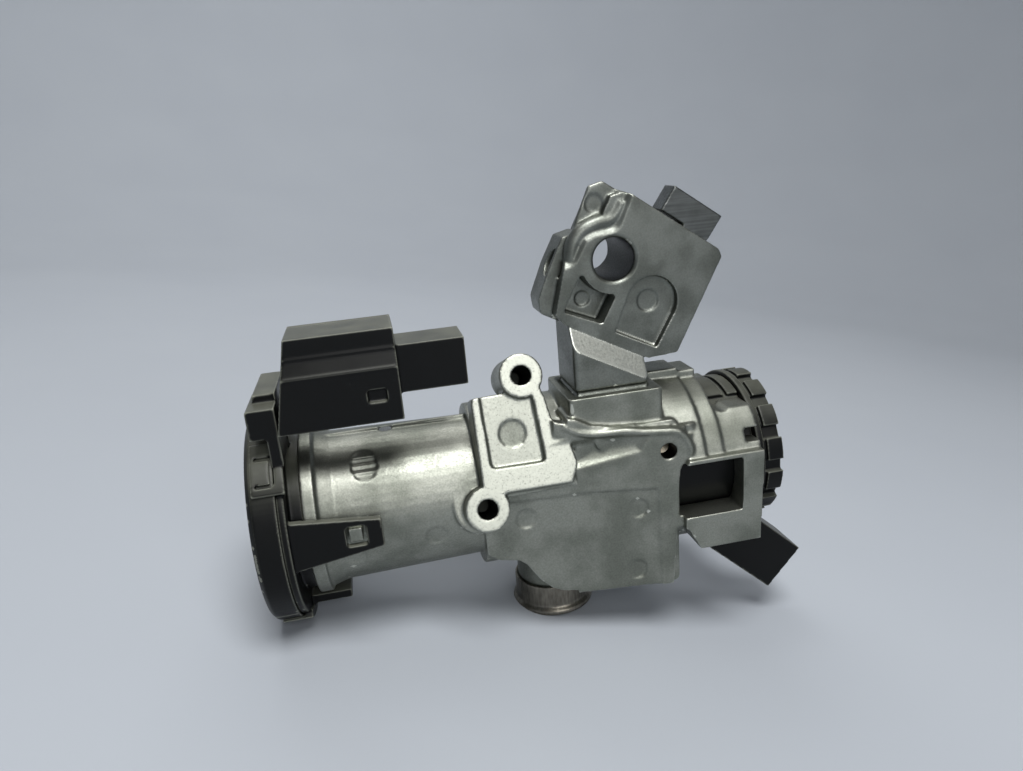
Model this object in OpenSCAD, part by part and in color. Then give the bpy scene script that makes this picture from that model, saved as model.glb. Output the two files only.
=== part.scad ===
// Ignition switch with a steering column lock.
// Lengths are in millimetres. X runs along the key axis from the aerial ring to the switch.
// Z points up through the neck of the column block and Y points away from the mounting face.
// The origin is the middle of the column bore.

/* [Layout] */
// Key axis distance from the ring front to the column bore
bore_x = 84.4; // [80:0.1:90]
// Height of the column bore over the key axis
bore_z = 51.8; // [48:0.1:56]
// Lean of the column block away from the neck, degrees
block_tilt = 28; // [24:1:31]
// Lean of the lock bolt away from the neck, degrees
bolt_tilt = 35; // [32:1:37]
// Turn of the key from lock to start, degrees
key_range = 110; // [90:1:120]

/* [Housing] */
// Outer radius of the key tube behind its collar
tube_r = 17.6; // [17:0.1:19]
// Outer radius of the key tube where it meets the body
tube_end_r = 16.8; // [16:0.1:18]
// Front face of the collar
collar_x = 10.5; // [9:0.1:12]
// Width of the collar
collar_w = 3; // [2:0.1:4]
// Radius of the collar
collar_r = 19.5; // [19:0.1:20]
// Front wall of the body
body_x = 49; // [48:0.1:52]
// Right wall of the body
body_end = 95.5; // [94:0.1:98]
// Radius of the rounded upper body
body_r = 19.5; // [18.5:0.1:20.5]
// Half depth of the flat lower body
body_half = 17; // [16.5:0.1:18.5]
// Depth of the lower body below the key axis
body_low = 27.1; // [26.5:0.1:30]
// Seam between the bell and its thinner lip
bell_end = 101; // [99:0.1:103]
// End of the full ring of the lip
lip_end = 105.5; // [104:0.1:107]
// Outer radius of the bell
bell_r = 21.3; // [20.8:0.1:22]
// End of the lower half of the bell
apron_end = 115; // [112:0.1:115.1]

/* [Mounting face] */
// Backward lean of the machined face, degrees
face_tilt = 20; // [10:1:30]
// Depth of the round marks that the ejector pins leave
mark_t = 0.35; // [0.2:0.05:0.5]
// Distance of the machined face from the key axis
face_off = 20.5; // [20:0.1:22]
// Lower boss along the key axis
boss_low_x = 49.6; // [48:0.1:52]
// Lower boss up the face, from the foot of the key axis
boss_low_s = -5; // [-7:0.1:-3]
// Upper boss along the key axis
boss_high_x = 61.2; // [59:0.1:64]
// Upper boss up the face
boss_high_s = 23.1; // [21:0.1:25]
// Boss radius
boss_r = 5; // [4.5:0.1:6]
// Tapped core radius of the two face bosses
boss_hole_r = 2.1; // [1.6:0.05:2.5]
// Depth of the tapped holes
boss_hole_l = 12; // [8:0.5:14]
// Small boss along the key axis
lug_x = 92.3; // [90:0.1:93]
// Small boss height
lug_z = 8.4; // [7:0.1:10]
// Small boss hole radius
lug_hole_r = 1.45; // [1.2:0.05:1.8]
// Small boss hole depth
lug_hole_l = 4; // [3:0.1:4.2]

/* [Column block] */
// Half thickness of the block across the column
block_half = 10.5; // [9.5:0.1:12]
// Radius of the column bore
bore_r = 4.75; // [4.25:0.05:5.25]
// Radius of the side hole in the left cheek
side_hole_r = 3.2; // [2.5:0.1:3.6]
// Front wall of the neck
neck_y = -13.5; // [-14:0.1:-12.5]
// Back wall of the neck
neck_back = 2; // [1.6:0.1:4]
// Left wall of the neck
neck_x0 = 73; // [72.5:0.1:74]
// Right wall of the neck
neck_x1 = 90.4; // [89.5:0.1:91]
// Floor of the socket that holds the neck
socket_floor = 16; // [15.6:0.1:17]
// Top of the socket
socket_top = 22.7; // [22:0.1:24]
// Wall of the socket
socket_wall = 2.4; // [2:0.1:2.5]

/* [Lock bolt] */
// Width of the bolt head along the block
bolt_w = 13.7; // [12:0.1:14]
// Thickness of the bolt
bolt_t = 6; // [5:0.1:6.4]
// Middle plane of the bolt
bolt_y = -3; // [-4:0.1:-2.4]
// Bolt stand-out over the block when locked
bolt_out = 5.5; // [4:0.1:7]
// Travel of the slider when the key turns
slider_travel = 5; // [4:0.1:5.2]
// Gap each side of the sliding parts
slide_gap = 0.15; // [0.1:0.01:0.3]
// Radius of the cross pin that joins bolt and slider
bolt_pin_r = 1.75; // [1.5:0.05:1.9]

/* [Key cylinder] */
// Radius of the key barrel
barrel_r = 9; // [8.5:0.1:9.4]
// Running gap of the turning parts
run_gap = 0.08; // [0.05:0.01:0.1]
// Outer radius of the cylinder sleeve
sleeve_r = 13; // [12.5:0.1:13.4]
// Radius of the drive shaft
shaft_r = 4.4; // [4:0.1:4.8]
// Back face of the barrel and sleeve
barrel_end = 45.8; // [44:0.1:46]
// Width of the key slot
keyway_w = 2.6; // [2:0.1:3]
// Height of the key slot
keyway_h = 9.2; // [8:0.1:10]
// Wafers in the barrel
wafer_n = 8; // [4:1:8]
// Spacing of the wafers
wafer_pitch = 3.6; // [3.2:0.1:3.8]

/* [Aerial ring and box] */
// Outer radius of the aerial ring
ring_r = 24; // [23:0.1:25]
// Inner radius of the aerial ring
ring_in_r = 14.2; // [13.8:0.1:15]
// Width of the aerial ring along the key axis
ring_w = 6; // [5:0.1:7]
// Wall of the plastic parts
wall = 1.6; // [1.2:0.1:2]
// Left side of the box at its foot
box_x0 = 8.6; // [8:0.1:10]
// Lean of the left side of the box over its height
box_lean = 3.8; // [0:0.1:5]
// Right side of the box
box_x1 = 34.5; // [32:0.1:36]
// Front of the upper box
box_y0 = -16.8; // [-18:0.1:-16]
// Back of the box
box_y1 = -2.6; // [-4:0.1:0]
// Underside of the box
box_z0 = 25; // [24:0.1:26]
// Top of the box
box_z1 = 44.4; // [42:0.1:47]
// Mouth of the aerial plug
plug_end = 48.9; // [46:0.1:52]

/* [Switch] */
// Back of the switch drum
switch_x1 = 115.2; // [114.9:0.1:117]
// Radius of the switch drum
drum_r = 16.6; // [16.2:0.1:17]
// Radius of the castellated end case
case_r = 18.6; // [18:0.1:19.2]
// Back of the end case
case_end = 121.5; // [119:0.1:124]
// Notches round the end case
notch_n = 14; // [8:1:18]
// Slope of the switch plug below the key axis, degrees
plug_tilt = 42; // [38:1:46]

/* [Quality] */
// Facets of a full circle
facets = 64; // [32:4:96]

/* [Hidden] */
$fn = facets;
eps = 0.02;
pin_gap = 0.02;
tube_end = body_x + 3;
tube_bore_r = sleeve_r + run_gap;
cam_rate = slider_travel / (key_range * PI / 180);
cam_base = shaft_r + 0.6;
cam_gap = 0.3;
cam_x0 = 63;
cam_x1 = 69;
slider_x0 = cam_x0 - 0.5;
slider_x1 = cam_x1 + 0.5;
cam_tip = norm([cam_base + slider_travel, cam_rate]);
slider_in_y0 = -cam_tip - 0.5;
cam_side = max(norm([cam_base, cam_rate]), cam_base + cam_rate * (key_range - 90) * PI / 180);
slider_in_y1 = cam_side + 0.4;
slider_bar = 2.4;
slider_y0 = slider_in_y0 - slider_bar;
slider_y1 = slider_in_y1 + slider_bar;
slider_floor = -cam_base - cam_gap;
slider_low = slider_floor - 4;
pocket_t = 1.4;
panel_t = 0.45;
trough_r = 7.6;
trough_end_r = 5.6;
lug_front = body_half + 2.4;
lug_r = 4.9;
pad_half = 26;
slider_roof = shaft_r + slider_travel + 0.6;
slider_top = slider_roof + 3;
tongue_t = 3;
block_q0 = -17.4;
corner_t = 2.6;
corner_w = 3.5;
post_r = 1.2;
pin_z = slider_roof + 4;
shank_mid = 3.2;
shank_half = 3.5;
head_low = -0.6;
bolt_x = bore_x + 18.8;
bolt_z = bore_z + 5.7;
pin_q = (pin_z - bolt_z + shank_mid * sin(bolt_tilt)) / cos(bolt_tilt);
pin_x = bolt_x + shank_mid * cos(bolt_tilt) + pin_q * sin(bolt_tilt);
fork_r = 3.4;
tongue_top = pin_z + bolt_pin_r + 1.2;
bolt_travel = slider_travel / cos(bolt_tilt);
slot_shift = slider_travel * tan(bolt_tilt);
cap_x = cam_x1 - 2;
cap_hole_r = 6.8;
cap_wall = 0.8;
cap_boss_r = cap_hole_r + 1.7;
cap_seat = -34.6;
cap_top = -body_low - 0.6;
cap_skirt = cap_boss_r + pin_gap;
cap_rim = cap_skirt + cap_wall + 0.9;
spring_r = 5.2;
spring_wire = 0.9;
wafer_x0 = 8;
wafer_t = 1.4;
bell_x0 = 91.8;
plate_x0 = 91.4;
plate_x1 = 94.4;
switch_x0 = plate_x1 + 0.2;
box_step_z = 36.4;
box_step_y = -18.6;
box_slope = 3.8;
plug_y0 = -15.8;
plug_y1 = -4.6;
plug_z0 = 29.9;
plug_z1 = 40.3;
board_x0 = box_x0 + box_lean + wall;
board_y = -10.8;
board_t = 1.6;
pin_t = 0.8;
coil_gap = 0.3;
clip_gap = 0.05;
clip_t = 0.7;
rotor_r = 12.5;
rotor_x0 = 97.5;
rotor_x1 = 105.5;
strip_x0 = 107.1;
strip_t = 0.8;
insulator_x0 = strip_x0 + strip_t;
insulator_x1 = insulator_x0 + 1.5;
switch_plug_x = 126.7;
switch_plug_z = -33.3;

// Node to draw, or all

// Helpers

// Moves key-axis coordinates so that the column bore is the origin
module placed() {
    translate([-bore_x, 0, -bore_z])
        children();
}

// Column block coordinates: X along the block, Z up the bolt, origin at the bore
module in_block() {
    translate([bore_x, 0, bore_z])
        rotate([0, block_tilt, 0])
            children();
}

// Lock bolt coordinates: Z along the bolt, origin where its middle leaves the block
module in_bolt() {
    translate([bolt_x, bolt_y, bolt_z])
        rotate([0, bolt_tilt, 0])
            children();
}

// Switch plug coordinates: X out of the mouth, origin in the middle of the mouth
module in_plug() {
    translate([switch_plug_x, -5, switch_plug_z])
        rotate([0, plug_tilt, 0])
            children();
}

// Machined face coordinates: X along the key axis, Y up the face, Z out of it
module in_face() {
    rotate([90 - face_tilt, 0, 0])
        translate([0, 0, face_off])
            children();
}

module slab(a, b) {
    translate(a)
        cube(b - a);
}

module xrod(x0, x1, r, r2 = 0) {
    translate([x0, 0, 0])
        rotate([0, 90, 0])
            cylinder(h = x1 - x0, r1 = r, r2 = r2 > 0 ? r2 : r);
}

module yrod(x, z, y0, y1, r) {
    translate([x, y1, z])
        rotate([90, 0, 0])
            cylinder(h = y1 - y0, r = r);
}

// Extrudes an outline drawn in X and Z across Y
module xz_plate(y0, y1) {
    translate([0, y1, 0])
        rotate([90, 0, 0])
            linear_extrude(y1 - y0)
                children();
}

// Extrudes an outline drawn in Y and Z along X
module yz_plate(x0, x1) {
    translate([x0, 0, 0])
        rotate([90, 0, 90])
            linear_extrude(x1 - x0)
                children();
}

module rounded(r) {
    offset(r)
        offset(-r)
            children();
}

// Upright post between two corners, with rounded upright edges
module post(x0, y0, x1, y1, z0, z1) {
    translate([0, 0, z0])
        linear_extrude(z1 - z0)
            rounded(post_r)
                translate([x0, y0])
                    square([x1 - x0, y1 - y0]);
}

// Housing

module housing_tube() {
    xrod(collar_x, collar_x + collar_w, collar_r);
    xrod(collar_x + collar_w - eps, collar_x + collar_w + 3.5, tube_r + 1, tube_r);
    xrod(collar_x + collar_w, tube_end, tube_r, tube_end_r);
    // parting ridge along the crown
    slab([collar_x + collar_w, -0.6, tube_end_r - 1], [tube_end, 0.6, tube_r + 0.25]);
    // nubs that the ring's arms snap over
    for (side = [-1, 1])
        translate([19.6, side * 18.6 - 2.4, 0])
            cube([2.9, 4.8, 3.2]);
}

// Puts a shape on the key axis at a point along it, facing out at an angle over the front
module around(x, angle) {
    rotate([90 - angle, 0, 0])
        translate([x, 0, 0])
            children();
}

module tube_marks() {
    // flats left by the ejector pins
    around(24.4, 50)
        translate([0, 0, tube_r - 0.75])
            difference() {
                linear_extrude(3)
                    scale([0.8, 1.1])
                        circle(r = 3.7);
                // ridges left standing in the flat
                for (i = [-1:1])
                    translate([-5, i * 1.7 - 0.25, -1])
                        cube([10, 0.5, 1.3]);
            }
    around(38.1, -14)
        translate([0, 0, tube_end_r - 0.2])
            cylinder(h = 3, r = 2.5);
    around(20.1, -20)
        translate([0, 0, tube_r - 0.55])
            cylinder(h = 3, r = 2.3);
}

module body_outline() {
    polygon([[body_x, 10], [body_x, -11.2], [51.6, -13.2], [56.4, -14.2], [58, -15.6], [60.6, -19.8], [63.5, -22.9],
        [66.5, -24.3], [72, 1.9 - body_low], [body_end, -body_low], [body_end, 15], [72, 15]]);
}

// Lower panel of the front wall, sunk a little below its frame
module panel_outline() {
    polygon([[body_x - 5, 1.4], [55.2, 1.1], [89.7, -0.5], [90.2, -body_low - 5], [body_x - 5, -body_low - 5]]);
}

// Front wall below the trough, with its rising right end
module wall_outline() {
    polygon([[body_x - 1, -body_r - 1], [body_x - 1, 3.2], [72.9, 3.7], [86.2, 5.4], [89.1, 6.9], [92, 16], [body_end + 1, 16],
        [body_end + 1, -body_r - 1]]);
}

// Ridge over the trough, from the pad to the small boss
module ridge_outline() {
    polygon([[69.5, 19], [71.5, 18.6], [75, 16.6], [79.5, 15.7], [86.5, 15.1], [92.3, 14.6], [92.3, 12.8], [86.4, 13.5],
        [79.3, 14.1], [74.7, 14.9], [71.3, 16.8], [69.5, 17.4]]);
}

module housing_body() {
    difference() {
        union() {
            xz_plate(-body_half, body_half)
                rounded(1.5)
                    body_outline();
            xrod(body_x, body_end, body_r);
        }
        // the flat front wall cuts the round upper body off
        xz_plate(-body_r - 1, -body_half)
            wall_outline();
        xz_plate(-body_r - 1, panel_t - body_half)
            panel_outline();
        // trough between the wall and the ridge
        translate([70.6, -body_half - 5.6, 8.6])
            rotate([0, 0, 1.9])
                rotate([0, 87, 0])
                    cylinder(h = lug_x - 71.4, r1 = trough_r, r2 = trough_end_r);
        // round marks of the ejector pins
        for (m = [[58.7, -3.8], [85, -5.1], [84.2, -21.6], [73.4, -20.8]])
            yrod(m[0], m[1], -body_r - 1, panel_t + mark_t - body_half, 2.5);
        yrod(78.4, 11.4, -body_r - 1, 1.4 - body_half, 3);
    }
    // ridge over the trough, and the small boss that it runs into
    xz_plate(-body_half - 0.3, -8)
        ridge_outline();
    yrod(lug_x, lug_z, -lug_front, -6, lug_r);
    translate([lug_x, -body_half, lug_z])
        rotate([90, 0, 0])
            cylinder(h = lug_front - body_half, r1 = lug_r + 4, r2 = lug_r);
    // socket that takes the neck
    post(neck_x0 - socket_wall, neck_y - socket_wall, neck_x1 + socket_wall, neck_back + socket_wall, 8, socket_top);
    // boss under the body for the cap
    translate([cap_x, 0, cap_seat])
        cylinder(h = -cap_seat - 19, r = cap_boss_r);
}

module pad_outline() {
    polygon([[49.2, -2], [49.2, 19.5], [56.8, 19.8], [58, 22], [64.5, 22], [66, 17], [66.8, 12],
        [69, 11.3], [71.2, 2], [69.4, -2.2], [54.5, -2.2]]);
}

module mounting_pad() {
    in_face() {
        translate([0, 0, -8])
            linear_extrude(8)
                rounded(1)
                    pad_outline();
        translate([boss_low_x, boss_low_s, -12])
            cylinder(h = 12, r = boss_r);
        translate([boss_high_x, boss_high_s, -boss_hole_l - 2])
            cylinder(h = boss_hole_l + 2, r = boss_r);
    }
}

module pad_cuts() {
    in_face() {
        translate([0, 0, -pocket_t])
            linear_extrude(3)
                difference() {
                    rounded(1.2)
                        polygon([[50.9, 30], [51.7, 3.6], [64, 3.4], [63.2, 16], [62, 30]]);
                    translate([boss_high_x, boss_high_s])
                        circle(r = boss_r);
                }
        translate([57.6, 10.6, -pocket_t - mark_t])
            cylinder(h = 3, r = 3.2);
        for (b = [[boss_low_x, boss_low_s], [boss_high_x, boss_high_s]])
            translate([b[0], b[1], -boss_hole_l])
                cylinder(h = boss_hole_l + 1, r = boss_hole_r);
    }
}

module housing_bell() {
    difference() {
        xrod(bell_x0, bell_end, bell_r);
        yrod(lug_x, lug_z, -bell_r - 1, -lug_front, lug_r);
    }
    difference() {
        union() {
            xrod(bell_end - eps, lip_end, bell_r - 0.5);
            xrod(lip_end - eps, apron_end, bell_r - 0.8);
        }
        slab([lip_end, -30, 14.7], [apron_end + 1, 30, 30]);
        // round corner where the lip runs into the apron
        translate([lip_end + 2.4, 0, 16.6])
            rotate([90, 0, 0])
                cylinder(h = 60, r = 2.4, center = true);
        // the switch plug leaves below
        slab([bell_end + 1.7, -13, -30], [apron_end + 1, 13, -5]);
        slab([lip_end, -30, -30], [apron_end + 1, 30, -16.6]);
        // notch beside the window frame
        slab([apron_end - 3.4, -30, 7.4], [apron_end + 1, -10, 10.2]);
    }
    // window frame over the switch latch
    xz_plate(-bell_r - 0.3, -14)
        polygon([[94, 6], [115, 6], [114.2, -16.8], [99, -16.8], [96, -11.2], [94, -11.2]]);
    // two low blocks on the crown, behind the neck
    slab([bell_x0, -4.5, 15], [bell_end, 4, bell_r + 1.8]);
    slab([bell_end - eps, -4.5, 15], [lip_end, 4, bell_r + 0.9]);
}

module housing_bell_cuts() {
    xrod(plate_x0, apron_end + 1, drum_r + run_gap);
    slab([plate_x1 + 0.2, -bell_r - 2, -8.2], [109.6, -10, 4.9]);
}

module mechanism_space() {
    // the slider and the drive shaft are loaded from the bell end
    slab([slider_x0 - slide_gap, slider_y0 - slide_gap, slider_low - slider_travel - 0.5],
         [slider_x1 + slide_gap, slider_y1 + slide_gap, slider_top + slide_gap]);
    slab([slider_x1, slider_y0 - slide_gap, slider_low - slide_gap],
         [plate_x0 + 1, slider_y1 + slide_gap, slider_top + slide_gap]);
    // room for the tongue, the fork and the cross pin
    tongue_room();
    slab([pin_x - slot_shift - fork_r - 0.6, bolt_y - bolt_t / 2 - 0.4, shaft_r],
         [neck_x1 - 3, bolt_y + bolt_t / 2 + 0.4, socket_floor + 1]);
    // spring hole
    translate([cap_x, 0, -40])
        cylinder(h = 40 + slider_low, r = cap_hole_r);
}

module tongue_room() {
    slab([slider_x1 - 3, bolt_y - tongue_t / 2 - 0.3, shaft_r],
         [pin_x + 6, bolt_y + tongue_t / 2 + 0.3, tongue_top + 0.3]);
}

module neck_plug(gap) {
    post(neck_x0 - gap, neck_y - gap, neck_x1 + gap, neck_back + gap, socket_floor, socket_top + 22);
}

module lock_housing() {
    color([0.66, 0.67, 0.66])
        difference() {
            union() {
                housing_tube();
                housing_body();
                mounting_pad();
                housing_bell();
            }
            xrod(collar_x - 1, barrel_end + 0.2, tube_bore_r);
            xrod(barrel_end, slider_x0 + 1, shaft_r + run_gap);
            housing_bell_cuts();
            mechanism_space();
            neck_plug(slide_gap / 3);
            pad_cuts();
            yrod(lug_x, lug_z, -lug_front - 2, lug_hole_l - lug_front, lug_hole_r);
            tube_marks();
            sleeve_pin_hole();
        }
}

module sleeve_pin_hole() {
    translate([30, 0, sleeve_r - 2])
        cylinder(h = 10, r = 1.5, $fn = 32);
}

// Column block

module block_front() {
    polygon([[-11.3, 12.1], [-8.9, 14.3], [-5.3, 13.9], [-2.4, 14.2], [21.9, 11.3], [23.4, 10],
        [23.4, -13.7], [17.4, block_q0], [-4.6, block_q0], [-7.4, -16.2], [-10.4, -4]]);
}

module block_back() {
    polygon([[-6.4, 12], [-4, 14], [21.9, 11.3], [23.4, 10], [23.4, -13.7], [17.4, block_q0], [-4.6, block_q0],
        [-6.4, -15]]);
}

module block_cheek() {
    polygon([[-9, 2.6], [-12, 0], [-12.1, -6.7], [-11.4, -14.8], [-9.6, block_q0], [-4, block_q0], [-4, 2.6]]);
}

// Corner of the front that lies lower than the rest
module block_corner() {
    polygon([[-18, 19], [-5.9, 19], [-5.2, 7.5], [-8.5, 5.4], [-10.9, 2.4], [-11.2, -3], [-18, -3]]);
}

// The corner with the S-shaped slope that leads up to the front
module corner_cut() {
    grow = (corner_t + 0.4) / corner_t;
    minkowski() {
        xz_plate(corner_t - block_half - eps, corner_t - block_half)
            block_corner();
        rotate([90, 0, 0])
            cylinder(h = corner_t * grow, r1 = 0, r2 = corner_w * grow, $fn = 24);
    }
}

module bolt_channel() {
    // the head sinks into a wide slot and the shank runs in a narrow one
    in_bolt() {
        slab([-bolt_w / 2 - slide_gap, -bolt_t / 2 - slide_gap, head_low - bolt_travel - 0.5],
             [bolt_w / 2 + slide_gap, bolt_t / 2 + slide_gap, 20]);
        slab([shank_mid - shank_half - slide_gap, -bolt_t / 2 - slide_gap, pin_q - 12],
             [shank_mid + shank_half + slide_gap, bolt_t / 2 + slide_gap, head_low]);
    }
}

module column_block() {
    color([0.6, 0.61, 0.61])
        difference() {
            union() {
                // neck, cut off along the block and chamfered at the front
                intersection() {
                    neck_plug(0);
                    in_block()
                        yz_plate(-40, 40)
                            polygon([[neck_y - 1, -60], [neck_y - 1, -23], [-block_half, block_q0 - 0.2],
                                [block_half, block_q0 + 1], [block_half, -60]]);
                }
                in_block() {
                    difference() {
                        xz_plate(-block_half, 4 - block_half)
                            rounded(0.8)
                                block_front();
                        corner_cut();
                    }
                    xz_plate(1 - block_half, block_half - 1.5)
                        rounded(0.8)
                            block_back();
                    xz_plate(3.5 - block_half, 1.6)
                        rounded(0.8)
                            block_cheek();
                }
            }
            bolt_channel();
            tongue_room();
            yrod(bore_x, bore_z, -block_half - 3, block_half + 3, bore_r);
            in_block() {
                // deep left pocket
                xz_plate(-block_half - 3, 5 - block_half)
                    rounded(0.6)
                        difference() {
                            polygon([[-5.7, -5], [3.8, -3.4], [3.5, -14], [-5.9, -14.8]]);
                            circle(r = bore_r + 3);
                        }
                // shallow right pocket with a round top
                xz_plate(-block_half - 3, 1.7 - block_half)
                    union() {
                        translate([12.4, -5.4])
                            circle(r = 6);
                        polygon([[7.2, -14.6], [18, -14.4], [18.4, -5.4], [6.4, -5.4]]);
                    }
                translate([-20, 5 - block_half, -6])
                    rotate([0, 90, 0])
                        cylinder(h = 12, r = side_hole_r);
                // round marks of the ejector pins
                yrod(-8.7, 9.2, -block_half - 3, corner_t + mark_t - block_half, 2.1);
                yrod(-1.6, -10.8, -block_half - 3, 5 + mark_t - block_half, 1.9);
                yrod(11.9, -5.4, -block_half - 3, 1.7 + mark_t - block_half, 2.6);
            }
        }
}

// Lock bolt and slider

module lock_bolt() {
    color([0.42, 0.42, 0.42])
        difference() {
            in_bolt() {
                slab([-bolt_w / 2, -bolt_t / 2, head_low], [bolt_w / 2, bolt_t / 2, bolt_out]);
                slab([shank_mid - shank_half, -bolt_t / 2, pin_q], [shank_mid + shank_half, bolt_t / 2, head_low + eps]);
                yrod(shank_mid, pin_q, -bolt_t / 2, bolt_t / 2, fork_r);
            }
            // fork that straddles the slider's tongue
            in_bolt()
                slab([shank_mid - 8, -tongue_t / 2 - slide_gap, pin_q - 8],
                     [shank_mid + 8, tongue_t / 2 + slide_gap, pin_q + 11]);
            yrod(pin_x, pin_z, bolt_y - bolt_t, bolt_y + bolt_t, bolt_pin_r);
        }
}

module bolt_pin() {
    color([0.55, 0.55, 0.56])
        yrod(pin_x, pin_z, bolt_y - bolt_t / 2, bolt_y + bolt_t / 2, bolt_pin_r);
}

module bolt_slider() {
    color([0.5, 0.5, 0.48])
        difference() {
            union() {
                slab([slider_x0, slider_y0, slider_low], [slider_x1, slider_y1, slider_top]);
                slab([slider_x1 - 3, bolt_y - tongue_t / 2, slider_roof + 0.4],
                     [pin_x + bolt_pin_r + 2.4, bolt_y + tongue_t / 2, tongue_top]);
            }
            slab([slider_x0 - 1, slider_in_y0, slider_floor], [slider_x1 + 1, slider_in_y1, slider_roof]);
            // level slot for the cross pin
            xz_plate(bolt_y - bolt_t, bolt_y + bolt_t)
                hull() {
                    translate([pin_x - slot_shift - 0.1, pin_z])
                        circle(r = bolt_pin_r + run_gap, $fn = 32);
                    translate([pin_x + 0.1, pin_z])
                        circle(r = bolt_pin_r + run_gap, $fn = 32);
                }
            // seat for the spring
            translate([cap_x, 0, slider_low - 1])
                cylinder(h = 2, r = spring_r + spring_wire + 0.3);
        }
}

// Coil of round wire: the section is stretched round the axis so that the wire stays round
module coil(r, wire, h, turns) {
    spread = 360 * wire * turns / h;
    section = [for (t = [0:30:330])
        let (rad = r + wire * cos(t), a = spread * sin(t))
        [rad * cos(a), rad * sin(a)]];
    linear_extrude(height = h, twist = -360 * turns, slices = 14 * turns, segments = 12, $fn = 8)
        polygon(section);
}

module bolt_spring() {
    color([0.6, 0.6, 0.62])
        translate([cap_x, 0, cap_seat])
            coil(spring_r, spring_wire, slider_low + 1 - cap_seat, 6);
}

module bottom_cap() {
    color([0.66, 0.62, 0.55])
        translate([cap_x, 0, 0])
            rotate_extrude()
                polygon([[0, cap_seat - 1.2], [8.9, cap_seat - 1.2], [cap_rim, cap_seat - 0.4], [cap_rim, cap_seat + 0.5],
                    [cap_skirt + cap_wall, cap_seat + 1.4], [cap_skirt + cap_wall, cap_top], [cap_skirt, cap_top],
                    [cap_skirt, cap_seat], [0, cap_seat]]);
}

// Key cylinder and drive

module cam_outline() {
    steps = 11;
    face = [for (i = [0:steps])
        let (a = key_range * i / steps, h = cam_base + cam_rate * a * PI / 180)
        [-h * sin(a) - cam_rate * cos(a), -h * cos(a) + cam_rate * sin(a)]];
    back = key_range + 40;
    polygon(concat([[0, 0]], face, [[-shaft_r * sin(back), -shaft_r * cos(back)]]));
}

module drive_shaft() {
    color([0.5, 0.5, 0.52]) {
        difference() {
            xrod(barrel_end - 4.4, rotor_x1 + 0.8, shaft_r);
            // tang for the barrel
            for (side = [-1, 1])
                translate([barrel_end - 5, side * 5 - 3.5, -6])
                    cube([5.2, 7, 12]);
            // flats for the rotor
            for (side = [-1, 1])
                translate([rotor_x0 - 0.5, side * 6.1 - 3, -6])
                    cube([20, 6, 12]);
        }
        yz_plate(cam_x0, cam_x1)
            cam_outline();
    }
}

module shaft_plate() {
    color([0.72, 0.73, 0.72])
        difference() {
            xrod(plate_x0, plate_x1, drum_r);
            xrod(plate_x0 - 1, plate_x1 + 1, shaft_r + run_gap);
        }
}

module wafer_slots(extra) {
    for (i = [0:wafer_n - 1])
        translate([wafer_x0 + i * wafer_pitch - extra / 2, -2.6 - extra, -barrel_r + 0.7])
            cube([wafer_t + extra, 5.2 + 2 * extra, 2 * barrel_r - 1.4]);
}

module cylinder_sleeve() {
    color([0.7, 0.68, 0.6])
        difference() {
            union() {
                xrod(3, barrel_end, sleeve_r);
                xrod(3, 5, sleeve_r + 0.9);
            }
            xrod(2, barrel_end + 1, barrel_r + run_gap);
            // channels the wafers drop into
            for (side = [-1, 1])
                translate([wafer_x0 - 1, -3, side * 9.4 - 1.4])
                    cube([wafer_n * wafer_pitch, 6, 2.8]);
            sleeve_pin_hole();
        }
}

module key_barrel() {
    color([0.76, 0.72, 0.62])
        difference() {
            xrod(1, barrel_end, barrel_r);
            slab([0, -keyway_w / 2, -keyway_h / 2], [38, keyway_w / 2, keyway_h / 2]);
            wafer_slots(0.1);
            // slot for the tang of the drive shaft
            slab([barrel_end - 4.6, -1.5, -shaft_r - 0.1], [barrel_end + 1, 1.5, shaft_r + 0.1]);
        }
}

module wafers() {
    color([0.78, 0.64, 0.36])
        difference() {
            wafer_slots(0);
            slab([0, -keyway_w / 2, -keyway_h / 2 + 0.6], [40, keyway_w / 2, keyway_h / 2 - 0.6]);
        }
}

module sleeve_pin() {
    color([0.55, 0.55, 0.56])
        translate([30, 0, sleeve_r - 2])
            cylinder(h = 6, r = 1.5, $fn = 32);
}

module face_bezel() {
    color([0.12, 0.12, 0.13])
        difference() {
            xrod(0.6, 3, sleeve_r + 0.9);
            xrod(0, 4, barrel_r + 0.3);
        }
}

// Aerial ring and box

module aerial_ring() {
    color([0.1, 0.1, 0.11])
        translate([0, 0, 0])
            rotate([0, 90, 0])
                rotate_extrude()
                    polygon([[ring_in_r, 0], [ring_r - 1, 0], [ring_r, 1], [ring_r, ring_w], [ring_r - wall, ring_w],
                        [ring_r - wall, wall], [ring_in_r + wall, wall], [ring_in_r + wall, ring_w - wall], [ring_in_r, ring_w - wall]]);
}

module ring_arm() {
    difference() {
        xz_plate(-21.6, -collar_r - 0.2)
            polygon([[ring_w, -4.8], [ring_w, 7], [26.6, 4.8], [26.8, -1.6]]);
        slab([18.9, -23, -0.7], [23.2, -18, 3.9]);
    }
}

// Snap clip over the rim of the ring, with a tongue cut free in it
module rim_clip() {
    difference() {
        rotate([0, 90, 0])
            rotate([0, 0, -152])
                rotate_extrude(angle = 29)
                    polygon([[ring_r - 1.2, ring_w + 0.4], [ring_r + clip_gap, ring_w + 0.4], [ring_r + clip_gap, 1.4],
                        [ring_r + clip_gap + clip_t, 1.4], [ring_r + clip_gap + clip_t, 8.2], [ring_r - 1.2, 8.2]]);
        for (angle = [38, 52.5])
            rotate([-angle, 0, 0])
                slab([2.4, -ring_r - 3, -0.4], [5.8, 1.2 - ring_r, 0.4]);
        rotate([-45.2, 0, 0])
            slab([5.4, -ring_r - 3, -3], [6.2, 1.2 - ring_r, 3]);
    }
}

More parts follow.
